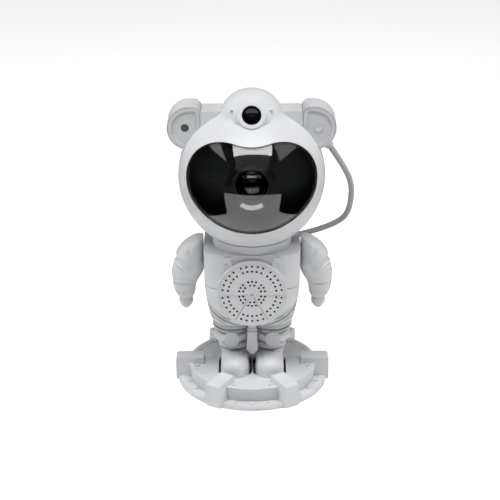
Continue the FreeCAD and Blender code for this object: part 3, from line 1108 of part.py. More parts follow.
def gear(name, blank, teeth, angle, thickness, where):
    """Spur gear facing the front, with straight-sided teeth; one tooth points to the angle."""
    body = new_body(name)
    revolve(body, outline(sketch_on(body, "XZ_Plane", name + "_profile"), blank), name + "_blank")
    tooth = sketch_on(body, "XY_Plane", name + "_tooth_line")
    bind(tooth, "AttachmentOffset.Rotation.Angle", angle)
    pitch = "toothModule * %s / 2" % teeth
    inside, outside = pitch + " - toothDedendum - toothTip", pitch + " + toothAddendum"
    outline(tooth, [(inside, "- toothRoot / 2"), (outside, "- toothTip / 2"), (outside, "toothTip / 2"),
                    (inside, "toothRoot / 2")])
    ring_of(body, pad(body, tooth, name + "_tooth", thickness), name + "_teeth", teeth)
    return place(body, where, "front")


def build_optics(rear_inner):
    """Nebula projector: plate, lens, geared ripple wheel, motor, lamp and heat sink."""
    plate_back = "partingY + plateThickness"
    axle_z = "headZ + wheelRise"
    plate_block = block("plate_block", ("- headRadius", "partingY", "headZ - headRadius"),
                        ("headRadius", plate_back, "headZ + plateTop"))
    shank = "wheelFront + wheelThickness + axialGap - partingY"
    axle = turned("axle_turning", [("0", "0"), ("axleRadius", "0"), ("axleRadius", shank), ("axleHeadRadius", shank),
                                   ("axleHeadRadius", shank + " + axleHeadHeight"),
                                   ("0", shank + " + axleHeadHeight")], ("0", "partingY", axle_z), "back")
    keep("wheel_axle", axle)
    light_way = cylinder("light_way", "holderBore - holderLedge", "2 * plateThickness",
                         ("0", "partingY - 1", "headZ"), "back")
    posts, holes = [], [axle, light_way]
    board_z = ("headZ - lampBoardLow + lampPostInset", "headZ + lampBoardHigh - lampPostInset")
    for side, sign in sides:
        for z in board_z:
            posts.append(cylinder(side + "_lamp_post", "lampPostRadius", "lampBoardY - partingY",
                                  (sign + "(lampBoardHalf - lampPostInset)", "partingY", z), "back"))
        for level in ("chin", "cheek"):
            holes.append(cylinder("%s_%s_plate_way" % (side, level), "screwRadius + fitGap", "2 * plateThickness",
                                  (sign + level + "BossX", "partingY - 1", "headZ - %sBossDrop" % level), "back"))
    plate = common("plate_disc", plate_block, rear_inner)
    keep("optics_plate", cut("plate_bored", fuse("plate_with_posts", plate, *posts), *holes))

    length, ledge = "partingY - holderFront", "partingY - nebulaLensBack"
    lip = "holderBore - holderLedge"
    keep("lens_holder", turned("holder_turning", [
        (lip, "0"), ("holderFlangeRadius", "0"), ("holderFlangeRadius", "holderFlange"),
        ("holderRadius", "holderFlange"), ("holderRadius", length), ("holderBore", length), ("holderBore", ledge),
        (lip, ledge)],
        ("0", "partingY", "headZ"), "front"))
    bore, curve = number("holderBore"), number("nebulaLensCurve")
    work_out("nebulaLensRise", "nebulaLensCurve - sqrt(nebulaLensCurve ^ 2 - holderBore ^ 2)",
             curve - math.sqrt(curve ** 2 - bore ** 2))
    apex = "nebulaLensBack - nebulaLensFront"
    keep("nebula_lens", turned("nebula_lens_turning", [
        ("0", "0"), ("holderBore", "0"), ("holderBore", apex + " - nebulaLensRise", "nebulaLensCurve"), ("0", apex)],
        ("0", "nebulaLensBack", "headZ"), "front"))

    wheel_back = ("0", "wheelFront + wheelThickness", axle_z)
    root = "toothModule * wheelTeeth / 2 - toothDedendum"
    seat = "wheelThickness - glassThickness"
    keep("nebula_wheel", gear("wheel_gear", [
        ("rimRadius - rimLedge", "0"), (root, "0"), (root, "wheelThickness"), ("rimRadius", "wheelThickness"),
        ("rimRadius", seat), ("rimRadius - rimLedge", seat)], "wheelTeeth", "pinionAngle", "wheelThickness", wheel_back))
    hub_front = "wheelFront + wheelThickness - partingY - plateThickness - axialGap"
    hub_bore = "axleRadius + runningGap"
    keep("ripple_glass", turned("ripple_turning", [
        (hub_bore, "0"), ("hubOuter", "0"), ("hubOuter", seat), ("rimRadius", seat), ("rimRadius", "wheelThickness"),
        ("hubOuter", "wheelThickness"), ("hubOuter", hub_front), (hub_bore, hub_front)], wheel_back, "front"))

    spread = "toothModule * (wheelTeeth + pinionTeeth) / 2 + gearSpread"
    pinion_x, pinion_z = "(%s) * cos(pinionAngle)" % spread, axle_z + " + (%s) * sin(pinionAngle)" % spread
    pinion_front = "wheelFront - pinionOverlap"
    pinion_width = "wheelThickness + 2 * pinionOverlap"
    pinion_root = "toothModule * pinionTeeth / 2 - toothDedendum"
    pinion = gear("pinion_gear", disc(pinion_root, "0", pinion_width), "pinionTeeth",
                  "pinionAngle + 180 + 180 / pinionTeeth", pinion_width,
                  (pinion_x, pinion_front + " + " + pinion_width, pinion_z))
    motor_front = "bracketFront + bracketThickness"
    shaft = cylinder("motor_shaft_rod", "motorShaftRadius",
                     motor_front + " + motorBoreDepth - axialGap " + minus(pinion_front),
                     (pinion_x, pinion_front, pinion_z), "back")
    keep("motor_pinion", fuse("pinion_on_shaft", pinion, shaft))
    can = cylinder("motor_can", "motorRadius", "motorLength", (pinion_x, motor_front, pinion_z), "back")
    motor_bore = cylinder("motor_bore", "motorShaftRadius + runningGap", "motorBoreDepth",
                          (pinion_x, motor_front, pinion_z), "back")
    keep("nebula_motor", cut("motor_bored", can, motor_bore))
    half_long, half_wide = "bracketPostReach", "bracketHalfHeight"
    strip = block("bracket_strip", ("0", "0", "0"), ("2 * " + half_wide, "bracketThickness", "2 * " + half_long))
    lean(strip, Vector(0, 1, 0), "- pinionAngle",
         (pinion_x + " - %s * cos(pinionAngle) + %s * sin(pinionAngle)" % (half_wide, half_long), "bracketFront",
          pinion_z + " - %s * sin(pinionAngle) - %s * cos(pinionAngle)" % (half_wide, half_long)))
    limbs = [strip]
    for name, sign in (("upper", "+"), ("lower", "-")):
        foot = (pinion_x + " %s bracketPostReach * sin(- pinionAngle)" % sign, plate_back,
                pinion_z + " %s bracketPostReach * cos(pinionAngle)" % sign)
        limbs.append(cylinder(name + "_bracket_post", "bracketPostRadius", motor_front + " - (%s)" % plate_back,
                              foot, "back"))
        limbs.append(cylinder(name + "_bracket_end", "bracketHalfHeight", "bracketThickness",
                              (foot[0], "bracketFront", foot[2]), "back"))
    shaft_way = cylinder("shaft_way", "motorShaftRadius + axialGap", "3 * bracketThickness",
                         (pinion_x, "bracketFront - bracketThickness", pinion_z), "back")
    keep("motor_bracket", cut("bracket_bored", fuse("bracket_form", *limbs), shaft_way))

    board_back = "lampBoardY + boardThickness"
    board = block("lamp_board_sheet", ("- lampBoardHalf", "lampBoardY", "headZ - lampBoardLow"),
                  ("lampBoardHalf", board_back, "headZ + lampBoardHigh"))
    led = cylinder("led_body", "ledRadius", "ledHeight", ("0", "lampBoardY", "headZ"), "front")
    keep("lamp_board", fuse("lamp_board_form", board, led))
    sink_z = "headZ + lampBoardHigh / 2 - lampBoardLow / 2"
    slab = block("sink_slab", ("- sinkHalf", board_back, sink_z + " - sinkHalf"),
                 ("sinkHalf", board_back + " + sinkLength", sink_z + " + sinkHalf"))
    slots = [block("fin_slot_%d" % turn, ("(%d) * 2 * finGap - finGap / 2" % turn, board_back + " + sinkBase",
                                          sink_z + " - sinkHalf - 1"),
                   ("(%d) * 2 * finGap + finGap / 2" % turn, board_back + " + sinkLength + 1",
                    sink_z + " + sinkHalf + 1")) for turn in (-2, -1, 0, 1, 2)]
    keep("heat_sink", cut("sink_finned", slab, *slots))
    board = block("head_board_sheet", ("- headBoardHalfWidth", "headBoardY", "headZ - headBoardHalfHeight"),
                  ("headBoardHalfWidth", "headBoardY + boardThickness", "headZ + headBoardHalfHeight"))
    driver = block("head_board_chip", ("- 2 * switchHalf", "headBoardY - chipHeight", "headZ"),
                   ("switchHalf", "headBoardY", "headZ + 2 * switchHalf"))
    keep("head_circuit_board", fuse("head_board_form", board, driver))


def lead_piece(label, corners):
    """Round lead along straight runs that are joined by tangent arcs."""
    radius = number("leadRadius")
    edges, start, expected = [], corners[0], 0.0
    for before, corner, after in zip(corners, corners[1:], corners[2:]):
        arriving, leaving = corner - before, after - corner
        half_turn = arriving.getAngle(leaving) / 2
        setback = 0.45 * min(arriving.Length, leaving.Length)
        along, away = arriving.normalize(), leaving.normalize()
        enter, leave = corner - along * setback, corner + away * setback
        bend = setback / math.tan(half_turn)
        inner = (away - along).normalize()
        middle = corner + inner * (bend / math.cos(half_turn) - bend)
        edges.append(Part.LineSegment(start, enter).toShape())
        edges.append(Part.Arc(enter, middle, leave).toShape())
        expected += (enter - start).Length + 2 * bend * half_turn
        print("%s bend radius %.1f mm" % (label, bend))
        start = leave
    edges.append(Part.LineSegment(start, corners[-1]).toShape())
    expected += (corners[-1] - start).Length
    ring = Part.Wire(Part.Circle(corners[0], corners[1] - corners[0], radius).toShape())
    solid = Part.Wire(edges).makePipeShell([ring], True, True)
    print("%s length %.1f mm, volume %.1f, section times length %.1f"
          % (label, expected, solid.Volume, math.pi * radius ** 2 * expected))
    feature = doc.addObject("Part::Feature", label + "_sweep")
    feature.Shape = solid
    feature.Placement = Placement()
    keep(label, feature)


def build_lead():
    """Glands on the right ear and the backpack, and the two lengths of the lead between them."""
    profile = [("0", "0"), ("glandFlange", "0"), ("glandFlange", "glandRoot + glandFlangeHeight"),
               ("glandRadius", "glandRoot + glandFlangeHeight"), ("glandRadius", "glandRoot + glandLength"),
               ("0", "glandRoot + glandLength")]
    ear_gland = turned("ear_gland_turning", profile)
    reach = "(earRadius - glandRoot)"
    lean(ear_gland, Vector(0, 1, 0), "90 + earGlandAngle",
         ("earX + %s * cos(earGlandAngle)" % reach, "earGlandY", "earZ - %s * sin(earGlandAngle)" % reach))
    ear_solid = ear_prism("ear_gland_seat", "", "earFront", "earBack")
    keep("head_lead_gland", cut("ear_gland_fitted", ear_gland, ear_solid))
    pack_profile = [(across, along.replace("glandRoot + ", "")) for across, along in profile]
    keep("body_lead_gland", turned("pack_gland_turning", pack_profile,
                                   ("packHalfWidth", "packGlandY", "packGlandZ"), "right"))

    angle = math.radians(number("earGlandAngle"))
    aim = Vector(math.cos(angle), 0, -math.sin(angle))
    top = Vector(number("earX"), number("earGlandY"), number("earZ")) + aim * number("earRadius + glandLength")
    leave = top + aim * number("earRun")
    loop = [Vector(number(name + "X"), number(name + "Y"), number(name + "Z"))
            for name in ("loopTop", "loopLow", "loopTurn")]
    meeting = (loop[0] + loop[1]) * 0.5
    run_in = Vector(number("packRunX"), number("packGlandY"), number("packGlandZ"))
    end = Vector(number("packHalfWidth + glandLength"), run_in.y, run_in.z)
    lead_piece("head_lead_upper", [top, leave, loop[0], meeting])
    lead_piece("head_lead_lower", [meeting, loop[1], loop[2], run_in, end])


base_screws = build_platform()
legs, boot_screws = build_legs()
trunk, torso_screws = build_torso(legs)
keep("body_screws", group("body_screw_set", base_screws + boot_screws + torso_screws))
build_neck()
build_speaker()
build_arms()
build_back(trunk)
build_optics(build_head())
build_lead()
doc.recompute()

faulty = [item.Name for item in doc.Objects if "Invalid" in item.State or "Error" in item.State]
faulty += [label for label, item in nodes.items() if item.Shape.isNull() or not item.Shape.isValid()]
if faulty:
    raise RuntimeError("not sound: " + ", ".join(faulty))

os.makedirs("parts", exist_ok=True)
for label, item in nodes.items():
    item.Shape.exportStep("parts/%s.step" % label)
print("%d sub-parts written" % len(nodes))
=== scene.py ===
import math

import bpy
import numpy as np
from mathutils import Matrix, Vector


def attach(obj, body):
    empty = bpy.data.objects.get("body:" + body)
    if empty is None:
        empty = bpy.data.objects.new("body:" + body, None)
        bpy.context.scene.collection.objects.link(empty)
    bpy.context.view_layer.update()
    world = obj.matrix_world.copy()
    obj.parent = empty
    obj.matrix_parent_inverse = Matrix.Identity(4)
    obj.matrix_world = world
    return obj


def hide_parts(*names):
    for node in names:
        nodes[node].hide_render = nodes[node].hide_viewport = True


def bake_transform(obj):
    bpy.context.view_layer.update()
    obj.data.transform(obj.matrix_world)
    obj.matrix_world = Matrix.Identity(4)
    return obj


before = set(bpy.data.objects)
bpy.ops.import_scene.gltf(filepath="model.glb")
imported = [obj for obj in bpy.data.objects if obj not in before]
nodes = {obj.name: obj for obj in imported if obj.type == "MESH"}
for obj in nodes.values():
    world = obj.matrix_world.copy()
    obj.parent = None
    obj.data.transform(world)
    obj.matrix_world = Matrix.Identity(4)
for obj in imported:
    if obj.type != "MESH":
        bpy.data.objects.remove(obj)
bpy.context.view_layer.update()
mm = 0.001
print("frame loaded:", len(nodes), "nodes")

camera = {"place": (0.0, -0.922, 0.4835), "pitchDown": 22.46, "roll": -0.17, "lens": 99.14, "shiftX": -0.004}


def addCamera():
    data = bpy.data.cameras.new("studioCamera")
    data.lens = camera["lens"]
    data.sensor_width = 36.0
    data.shift_x = camera["shiftX"]
    data.clip_start = 0.05
    data.clip_end = 20.0
    body = bpy.data.objects.new("studioCamera", data)
    bpy.context.scene.collection.objects.link(body)
    body.matrix_world = (Matrix.Translation(camera["place"])
                         @ Matrix.Rotation(math.radians(90 - camera["pitchDown"]), 4, "X")
                         @ Matrix.Rotation(math.radians(camera["roll"]), 4, "Z"))
    bpy.context.scene.camera = body


addCamera()
print("camera placed")


def linear(code):  # sRGB hex to linear light
    parts = [int(code[i:i + 2], 16) / 255 for i in (1, 3, 5)]
    return tuple(c / 12.92 if c <= 0.04045 else ((c + 0.055) / 1.055) ** 2.4 for c in parts) + (1.0,)


# sets sockets by name, where _ is a space, or by number, as in i3; a value is plain, or (node, output) to be linked
def feed(tree, node, **sockets):
    for name, value in sockets.items():
        byNumber = name[0] == "i" and name[1:].isdigit()
        socket = node.inputs[int(name[1:]) if byNumber else name.replace("_", " ")]
        if isinstance(value, tuple) and isinstance(value[0], bpy.types.Node):
            tree.links.new(value[0].outputs[value[1]], socket)
        else:
            socket.default_value = value


# one node with its settings, values and links
def addNode(tree, kind, settings=None, **sockets):
    node = tree.nodes.new("ShaderNode" + kind)
    for name, value in (settings or {}).items():
        setattr(node, name, value)
    feed(tree, node, **sockets)
    return node


# an empty material: its tree, its shader and the object's own coordinates
def newMaterial(name):
    material = bpy.data.materials.new(name)
    material.use_nodes = True
    tree = material.node_tree
    tree.nodes.clear()
    shader = addNode(tree, "BsdfPrincipled")
    output = addNode(tree, "OutputMaterial")
    tree.links.new(shader.outputs[0], output.inputs[0])
    where = addNode(tree, "TexCoord")
    return material, tree, shader, (where, "Object")


# the suit's folds, in mm: they start and are full at these depths, and fade over their ends; each has a roll above it
folds = {"start": 1.0, "full": -9.0, "halfWidth": 40, "tallest": 100, "ends": 1.5, "rollAbove": 1.7, "roll": 0.5}


# folds moulded along lines that run over the front: each line gives the height at distances from the middle, and dips
# as -depth * exp(-(gap / width)^2), with a roll above it that is part as high; painted shade darkens the colour along
# each line by its shade
def foldLines(tree, place, lines):
    split = addNode(tree, "SeparateXYZ", Vector=place)
    side = addNode(tree, "Math", {"operation": "ABSOLUTE"}, i0=(split, "X"))
    share = addNode(tree, "Math", {"operation": "DIVIDE"}, i0=(side, "Value"), i1=folds["halfWidth"] * mm)
    ahead = addNode(tree, "MapRange", Value=(split, "Y"), i1=folds["start"] * mm, i2=folds["full"] * mm)
    dip, dark = 0.0, 0.0
    for look in lines:
        line = addNode(tree, "FloatCurve", Value=(share, "Value"))
        points = line.mapping.curves[0].points
        for k, (away, height) in enumerate(look["line"]):
            spot = (away / folds["halfWidth"], height / folds["tallest"])
            if k < 2:
                points[k].location = spot
            else:
                points.new(*spot)
        line.mapping.update()
        level = addNode(tree, "Math", {"operation": "MULTIPLY"}, i0=(line, "Value"), i1=folds["tallest"] * mm)
        gap = addNode(tree, "Math", {"operation": "SUBTRACT"}, i0=(split, "Z"), i1=(level, "Value"))
        steps = addNode(tree, "Math", {"operation": "DIVIDE"}, i0=(gap, "Value"), i1=look["width"] * mm)
        first, last = look["line"][0][0], look["line"][-1][0]
        near = addNode(tree, "MapRange", Value=(side, "Value"), i1=(first - folds["ends"]) * mm, i2=first * mm)
        far = addNode(tree, "MapRange", Value=(side, "Value"), i1=(last + folds["ends"]) * mm, i2=last * mm)
        inside = addNode(tree, "Math", {"operation": "MULTIPLY"}, i0=(near, "Result"), i1=(far, "Result"))
        fade = addNode(tree, "Math", {"operation": "MULTIPLY"}, i0=(inside, "Value"), i1=(ahead, "Result"))
        for above, amount in ((0.0, -look["depth"]), (folds["rollAbove"], folds["roll"] * look["depth"])):
            moved = addNode(tree, "Math", {"operation": "SUBTRACT"}, i0=(steps, "Value"), i1=above)
            square = addNode(tree, "Math", {"operation": "MULTIPLY"}, i0=(moved, "Value"), i1=(moved, "Value"))
            bell = addNode(tree, "Math", {"operation": "POWER"}, i0=math.exp(-1), i1=(square, "Value"))
            cut = addNode(tree, "Math", {"operation": "MULTIPLY"}, i0=(bell, "Value"), i1=(fade, "Value"))
            total = addNode(tree, "Math", {"operation": "MULTIPLY_ADD"}, i0=(cut, "Value"), i1=amount, i2=dip)
            dip = (total, "Value")
            if not above:
                # painted shade: how much the colour darkens along this fold line, summed over the lines
                paintedCreaseShade = addNode(tree, "Math", {"operation": "MULTIPLY_ADD"}, i0=(cut, "Value"), i1=look["shade"], i2=dark)
                dark = (paintedCreaseShade, "Value")
    return dip, dark


# injection-moulded plastic: a satin skin with the fine pitted texture of a spark-eroded tool, faint clouding in the
# colour, and edges rounded by the tool's own radius
def moulded(name, look):
    material, tree, shader, place = newMaterial(name)
    cloud = addNode(tree, "TexNoise", Vector=place, Scale=1000 / look["cloud"], Detail=2.0, Roughness=0.5)
    tint = addNode(tree, "ValToRGB", Fac=(cloud, "Fac"))
    tint.color_ramp.elements[0].position = 0.3
    tint.color_ramp.elements[0].color = linear(look["shade"])
    tint.color_ramp.elements[1].position = 0.7
    tint.color_ramp.elements[1].color = linear(look["colour"])
    colour = (tint, "Color")
    edge = addNode(tree, "Bevel", {"samples": 4}, Radius=look["edge"] * mm)
    under = (edge, "Normal")
    if "folds" in look:
        dip, dark = foldLines(tree, place, look["folds"])
        # painted shade: the colour darkens along each fold line, where shade would gather
        mixed = addNode(tree, "Mix", {"data_type": "RGBA"}, i0=dark, i6=colour, i7=linear(look["paintedCreaseShade"]))
        colour = (mixed, "Result")
        folded = addNode(tree, "Bump", Strength=1.0, Distance=1 * mm, Height=dip, Normal=under)
        under = (folded, "Normal")
    if "cloth" in look:  # black inside a radius: behind the plane clothFrom, for cloth behind the grille, and on the holes' walls from just under the front face, as painted shade in the holes
        centre = [c * mm for c in look["centre"]]
        fromCentre = addNode(tree, "VectorMath", {"operation": "SUBTRACT"}, i0=place, i1=centre)
        flat = addNode(tree, "VectorMath", {"operation": "MULTIPLY"}, i0=(fromCentre, "Vector"), i1=(1, 0, 1))
        away = addNode(tree, "VectorMath", {"operation": "LENGTH"}, i0=(flat, "Vector"))
        inside = addNode(tree, "Math", {"operation": "LESS_THAN"}, i0=(away, "Value"), i1=look["clothRadius"] * mm)
        split = addNode(tree, "SeparateXYZ", Vector=place)
        behind = addNode(tree, "Math", {"operation": "GREATER_THAN"}, i0=(split, "Y"), i1=look["clothFrom"] * mm)
        facing = addNode(tree, "NewGeometry")
        lean = addNode(tree, "SeparateXYZ", Vector=(facing, "True Normal"))
        steep = addNode(tree, "Math", {"operation": "ABSOLUTE"}, i0=(lean, "Y"))
        wall = addNode(tree, "Math", {"operation": "LESS_THAN"}, i0=(steep, "Value"), i1=look["boreShadeLean"])
        sunk = addNode(tree, "Math", {"operation": "GREATER_THAN"}, i0=(split, "Y"), i1=look["boreShadeFrom"] * mm)
        bore = addNode(tree, "Math", {"operation": "MULTIPLY"}, i0=(wall, "Value"), i1=(sunk, "Value"))
        deep = addNode(tree, "Math", {"operation": "MAXIMUM"}, i0=(bore, "Value"), i1=(behind, "Value"))
        both = addNode(tree, "Math", {"operation": "MULTIPLY"}, i0=(inside, "Value"), i1=(deep, "Value"))
        # painted shade: the holes' walls turn black from just under the front face; behind the plane the black stands
        # for the cloth
        clothAndBoreShade = addNode(tree, "Mix", {"data_type": "RGBA"}, i0=(both, "Value"), i6=colour, i7=linear(look["cloth"]))
        colour = (clothAndBoreShade, "Result")
    pits = addNode(tree, "TexNoise", Vector=place, Scale=1000 / look["grain"], Detail=2.0, Roughness=0.6)
    uneven = 0.06  # how far the roughness wanders either way
    gloss = addNode(tree, "MapRange", Value=(pits, "Fac"), i3=look["rough"] - uneven, i4=look["rough"] + uneven)
    skin = addNode(tree, "Bump", Strength=look["relief"], Distance=look["depth"] * mm, Height=(pits, "Fac"),
                   Normal=under)
    feed(tree, shader, Base_Color=colour, Roughness=(gloss, "Result"), Normal=(skin, "Normal"), IOR=1.53)
    return material


# machined or plated metal: fine parallel tool marks that stretch the gloss a little
def metal(name, look):
    material, tree, shader, place = newMaterial(name)
    marks = addNode(tree, "Mapping", Vector=place, Scale=look["along"])
    lines = addNode(tree, "TexNoise", Vector=(marks, "Vector"), Scale=1000 / look["grain"], Detail=3.0)
    gloss = addNode(tree, "MapRange", Value=(lines, "Fac"), i3=look["rough"] - 0.08, i4=look["rough"] + 0.1)
    skin = addNode(tree, "Bump", Strength=0.2, Distance=0.02 * mm, Height=(lines, "Fac"))
    feed(tree, shader, Base_Color=linear(look["colour"]), Metallic=1.0, Roughness=(gloss, "Result"),
         Normal=(skin, "Normal"))
    return material


# polished optical plastic or glass, with the faint haze that handling leaves
def glassy(name, look):
    material, tree, shader, place = newMaterial(name)
    haze = addNode(tree, "TexNoise", Vector=place, Scale=1000 / look["haze"], Detail=3.0)
    gloss = addNode(tree, "MapRange", Value=(haze, "Fac"), i3=look["rough"], i4=look["rough"] + 0.03)
    feed(tree, shader, Base_Color=linear(look["colour"]), Roughness=(gloss, "Result"), IOR=look["ior"],
         Transmission_Weight=look["clear"], Coat_Weight=look["coat"], Coat_Roughness=0.02)
    return material


# glass-fibre circuit board: solder mask with the weave showing through, and tracks a shade lighter
def board(name, look):
    material, tree, shader, place = newMaterial(name)
    tracks = addNode(tree, "TexBrick", {"offset": 0.5}, Vector=place, Scale=1000 / look["pitch"],
                     Color1=linear(look["colour"]), Color2=linear(look["shade"]), Mortar=linear(look["track"]))
    weave = addNode(tree, "TexNoise", Vector=place, Scale=1000 / look["weave"], Detail=1.0)
    skin = addNode(tree, "Bump", Strength=0.2, Distance=0.03 * mm, Height=(weave, "Fac"))
    feed(tree, shader, Base_Color=(tracks, "Color"), Roughness=0.35, IOR=1.5, Normal=(skin, "Normal"))
    return material


# white ABS: cloud, grain, depth and edge in mm
white = {"colour": "#dbdcde", "shade": "#d7d8da", "cloud": 22, "grain": 0.45, "rough": 0.42, "relief": 0.35,
         "depth": 0.02, "edge": 0.45}

# the hem of the suit on the trunk, and the folds round the legs: (distance from the middle, height) in mm
hemFolds = [
    {"line": [(10, 51.9), (14.3, 54.2), (17.9, 56.4), (21.5, 58.4), (25.1, 60.6), (28.7, 63.5), (33, 68)],
     "width": 0.95, "depth": 0.9, "shade": 1.0},
    {"line": [(16.4, 58.9), (20.3, 60.9), (25, 64.1), (30.5, 67.9), (33, 70.0)],
     "width": 0.7, "depth": 0.5, "shade": 0.35},
    {"line": [(19, 52.6), (21.6, 54.4), (25.2, 56.6), (28.9, 58.2), (32, 59.8)],
     "width": 0.9, "depth": 0.7, "shade": 0.6}]
legFolds = [
    {"line": [(3.5, 42.8), (7.2, 44.1), (11.5, 44.7), (15.9, 44.7), (19.6, 44.5), (22.9, 44.9), (26.3, 45.3),
              (29, 45.8)],
     "width": 0.9, "depth": 0.8, "shade": 1.0},
    {"line": [(18.6, 40.6), (21.8, 41.0), (24.5, 41.4), (28, 41.0)], "width": 0.8, "depth": 0.6, "shade": 0.8},
    {"line": [(3.5, 41.2), (6, 41.0), (10.5, 40.7)], "width": 0.8, "depth": 0.6, "shade": 0.8},
    {"line": [(4, 32.2), (8.6, 33.0), (12, 32.0), (16, 31.2), (19, 32.0), (21, 33.4), (24, 34.6), (28, 36.4)],
     "width": 0.9, "depth": 0.7, "shade": 0.9},
    {"line": [(4, 26.3), (10.9, 27.2), (16, 27.2), (20, 27.6), (24, 27.3)], "width": 0.9, "depth": 0.6, "shade": 0.8}]

finish = {
    # ABS, injection moulded: white with a satin skin that scatters most light, so its forms read by soft shade
    "whiteAbs": moulded("whiteAbsMoulded", white),
    # the same white ABS run out to a thin edge, with no rounding
    "thinAbs": moulded("whiteAbsThinEdge", {**white, "edge": 0.02}),
    # the same white ABS with the hem and folds of the suit moulded in, and painted shade along their lines
    "hemAbs": moulded("whiteAbsHem", {**white, "paintedCreaseShade": "#7b7d7c", "folds": hemFolds}),
    # the legs take a darker copy of the same white: painted shade, as they sit in the trunk's shade
    "foldedAbs": moulded("whiteAbsFolded", {**white, "colour": "#d5d6d8", "shade": "#d1d2d4", "paintedCreaseShade": "#6f7170",
                                            "folds": legFolds}),
    # the same ABS a shade greyer: ear plates and push buttons
    "greyAbs": moulded("greyAbsMoulded", {"colour": "#d1d2d4", "shade": "#cdced0", "cloud": 16, "grain": 0.4,
                                          "rough": 0.45, "relief": 0.35, "depth": 0.02, "edge": 0.35}),
    # black ABS inside the head: deep and dull, so that only the lens shows through the visor
    "blackAbs": moulded("blackAbsMoulded", {"colour": "#141416", "shade": "#0f0f11", "cloud": 12, "grain": 0.4,
                                            "rough": 0.5, "relief": 0.4, "depth": 0.02, "edge": 0.3}),
    # ethylene foam rubber, die cut: dead matt with open cells
    "rubber": moulded("foamRubber", {"colour": "#232326", "shade": "#1c1c1f", "cloud": 9, "grain": 0.8,
                                     "rough": 0.85, "relief": 0.8, "depth": 0.08, "edge": 0.3}),
    # pressed paper pulp, doped black: fibrous and matt
    "paper": moulded("dopedPaper", {"colour": "#26262a", "shade": "#1b1b1e", "cloud": 5, "grain": 0.9,
                                    "rough": 0.8, "relief": 0.7, "depth": 0.05, "edge": 0.2}),
    # ground and zinc-plated steel: cool grey, softly streaked
    "steel": metal("zincPlatedSteel", {"colour": "#a7a8aa", "rough": 0.38, "grain": 0.5, "along": (1, 1, 8)}),
    # nickel plate: warm and mirror-like
    "magnet": metal("nickelPlate", {"colour": "#c9c6bf", "rough": 0.18, "grain": 0.8, "along": (1, 1, 3)}),
    # brass from the lathe, with its turning marks
    "brass": metal("turnedBrass", {"colour": "#c9a45c", "rough": 0.28, "grain": 0.4, "along": (1, 6, 1)}),
    # aluminium with the long marks of its extrusion
    "aluminium": metal("extrudedAluminium", {"colour": "#c4c7ca", "rough": 0.4, "grain": 0.5, "along": (1, 8, 1)}),
    # acrylic with a vacuum-deposited smoke mirror: nearly black, with a sharp pale reflection
    "visor": glassy("smokedMirrorAcrylic", {"colour": "#d8dadd", "rough": 0.0, "haze": 18, "ior": 1.7, "clear": 1.0,
                                            "coat": 0.0}),
    # moulded acrylic lens, tinted dark, so that it shows through the visor by its reflections
    "clear": glassy("clearAcrylic", {"colour": "#2e3032", "rough": 0.0, "haze": 6, "ior": 1.9, "clear": 1.0,
                                     "coat": 0.0}),
    # coated glass over the laser: black, with a cold sheen
    "starGlass": glassy("coatedGlass", {"colour": "#07090b", "rough": 0.02, "haze": 5, "ior": 1.22, "clear": 0.0,
                                        "coat": 0.0}),
    # infrared-passing acrylic: a dark grey window with a faint gloss
    "window": glassy("irWindow", {"colour": "#464848", "rough": 0.2, "haze": 3, "ior": 1.5, "clear": 0.0, "coat": 0.3}),
    # the same white ABS with black cloth glued behind it; black is painted on its back and on the holes' walls from
    # just under the front face, painted shade in the holes
    "grille": moulded("whiteAbsClothAndShadedBores", {**white, "edge": 0.3, "cloth": "#060606", "clothFrom": -31.9,
                                            "boreShadeFrom": -32.38, "boreShadeLean": 0.5, "clothRadius": 23.2,
                                            "centre": (0, 0, 82.0)}),
    # circuit board: green solder mask, half gloss, over fine tracks
    "board": board("circuitBoard", {"colour": "#1d5a3a", "shade": "#1a5236", "track": "#2c7a52", "pitch": 2.5,
                                    "weave": 0.6}),
}

# which pieces of the frame take which finish
dressed = {
    "thinAbs": ["forehead_dome"],
    "whiteAbs": ["base_platform", "base_cover", "boots", "knee_pads", "torso_rear", "neck_seat",
                 "magnet_cap", "backpack_cover", "left_arm", "right_arm", "head_front_shell",
                 "head_rear_shell", "turret_collar", "turret_ring"],
    "greyAbs": ["body_lead_gland", "head_lead_gland", "star_button", "nebula_button", "speaker_button", "ear_button",
                "left_ear_cover", "right_ear_cover"],
    "blackAbs": ["speaker_basket", "visor_bezel", "ear_switch", "optics_plate", "lens_holder", "nebula_wheel"],
    "grille": ["speaker_grille"],
    "hemAbs": ["torso_front"],
    "foldedAbs": ["legs"],
    "rubber": ["foot_pad"],
    "paper": ["speaker_cone"],
    "steel": ["base_weight", "body_screws", "head_screws", "speaker_magnet", "power_socket", "wheel_axle",
              "nebula_motor", "motor_bracket"],
    "magnet": ["neck_magnet", "head_magnet"],
    "brass": ["laser_module", "motor_pinion"],
    "aluminium": ["heat_sink"],
    "visor": ["visor"],
    "clear": ["nebula_lens", "ripple_glass"],
    "starGlass": ["star_lens"],
    "window": ["ir_receiver"],
    "board": ["button_board", "body_circuit_board", "lamp_board", "head_circuit_board"],
    "greyLead": ["head_lead_upper", "head_lead_lower"],
}


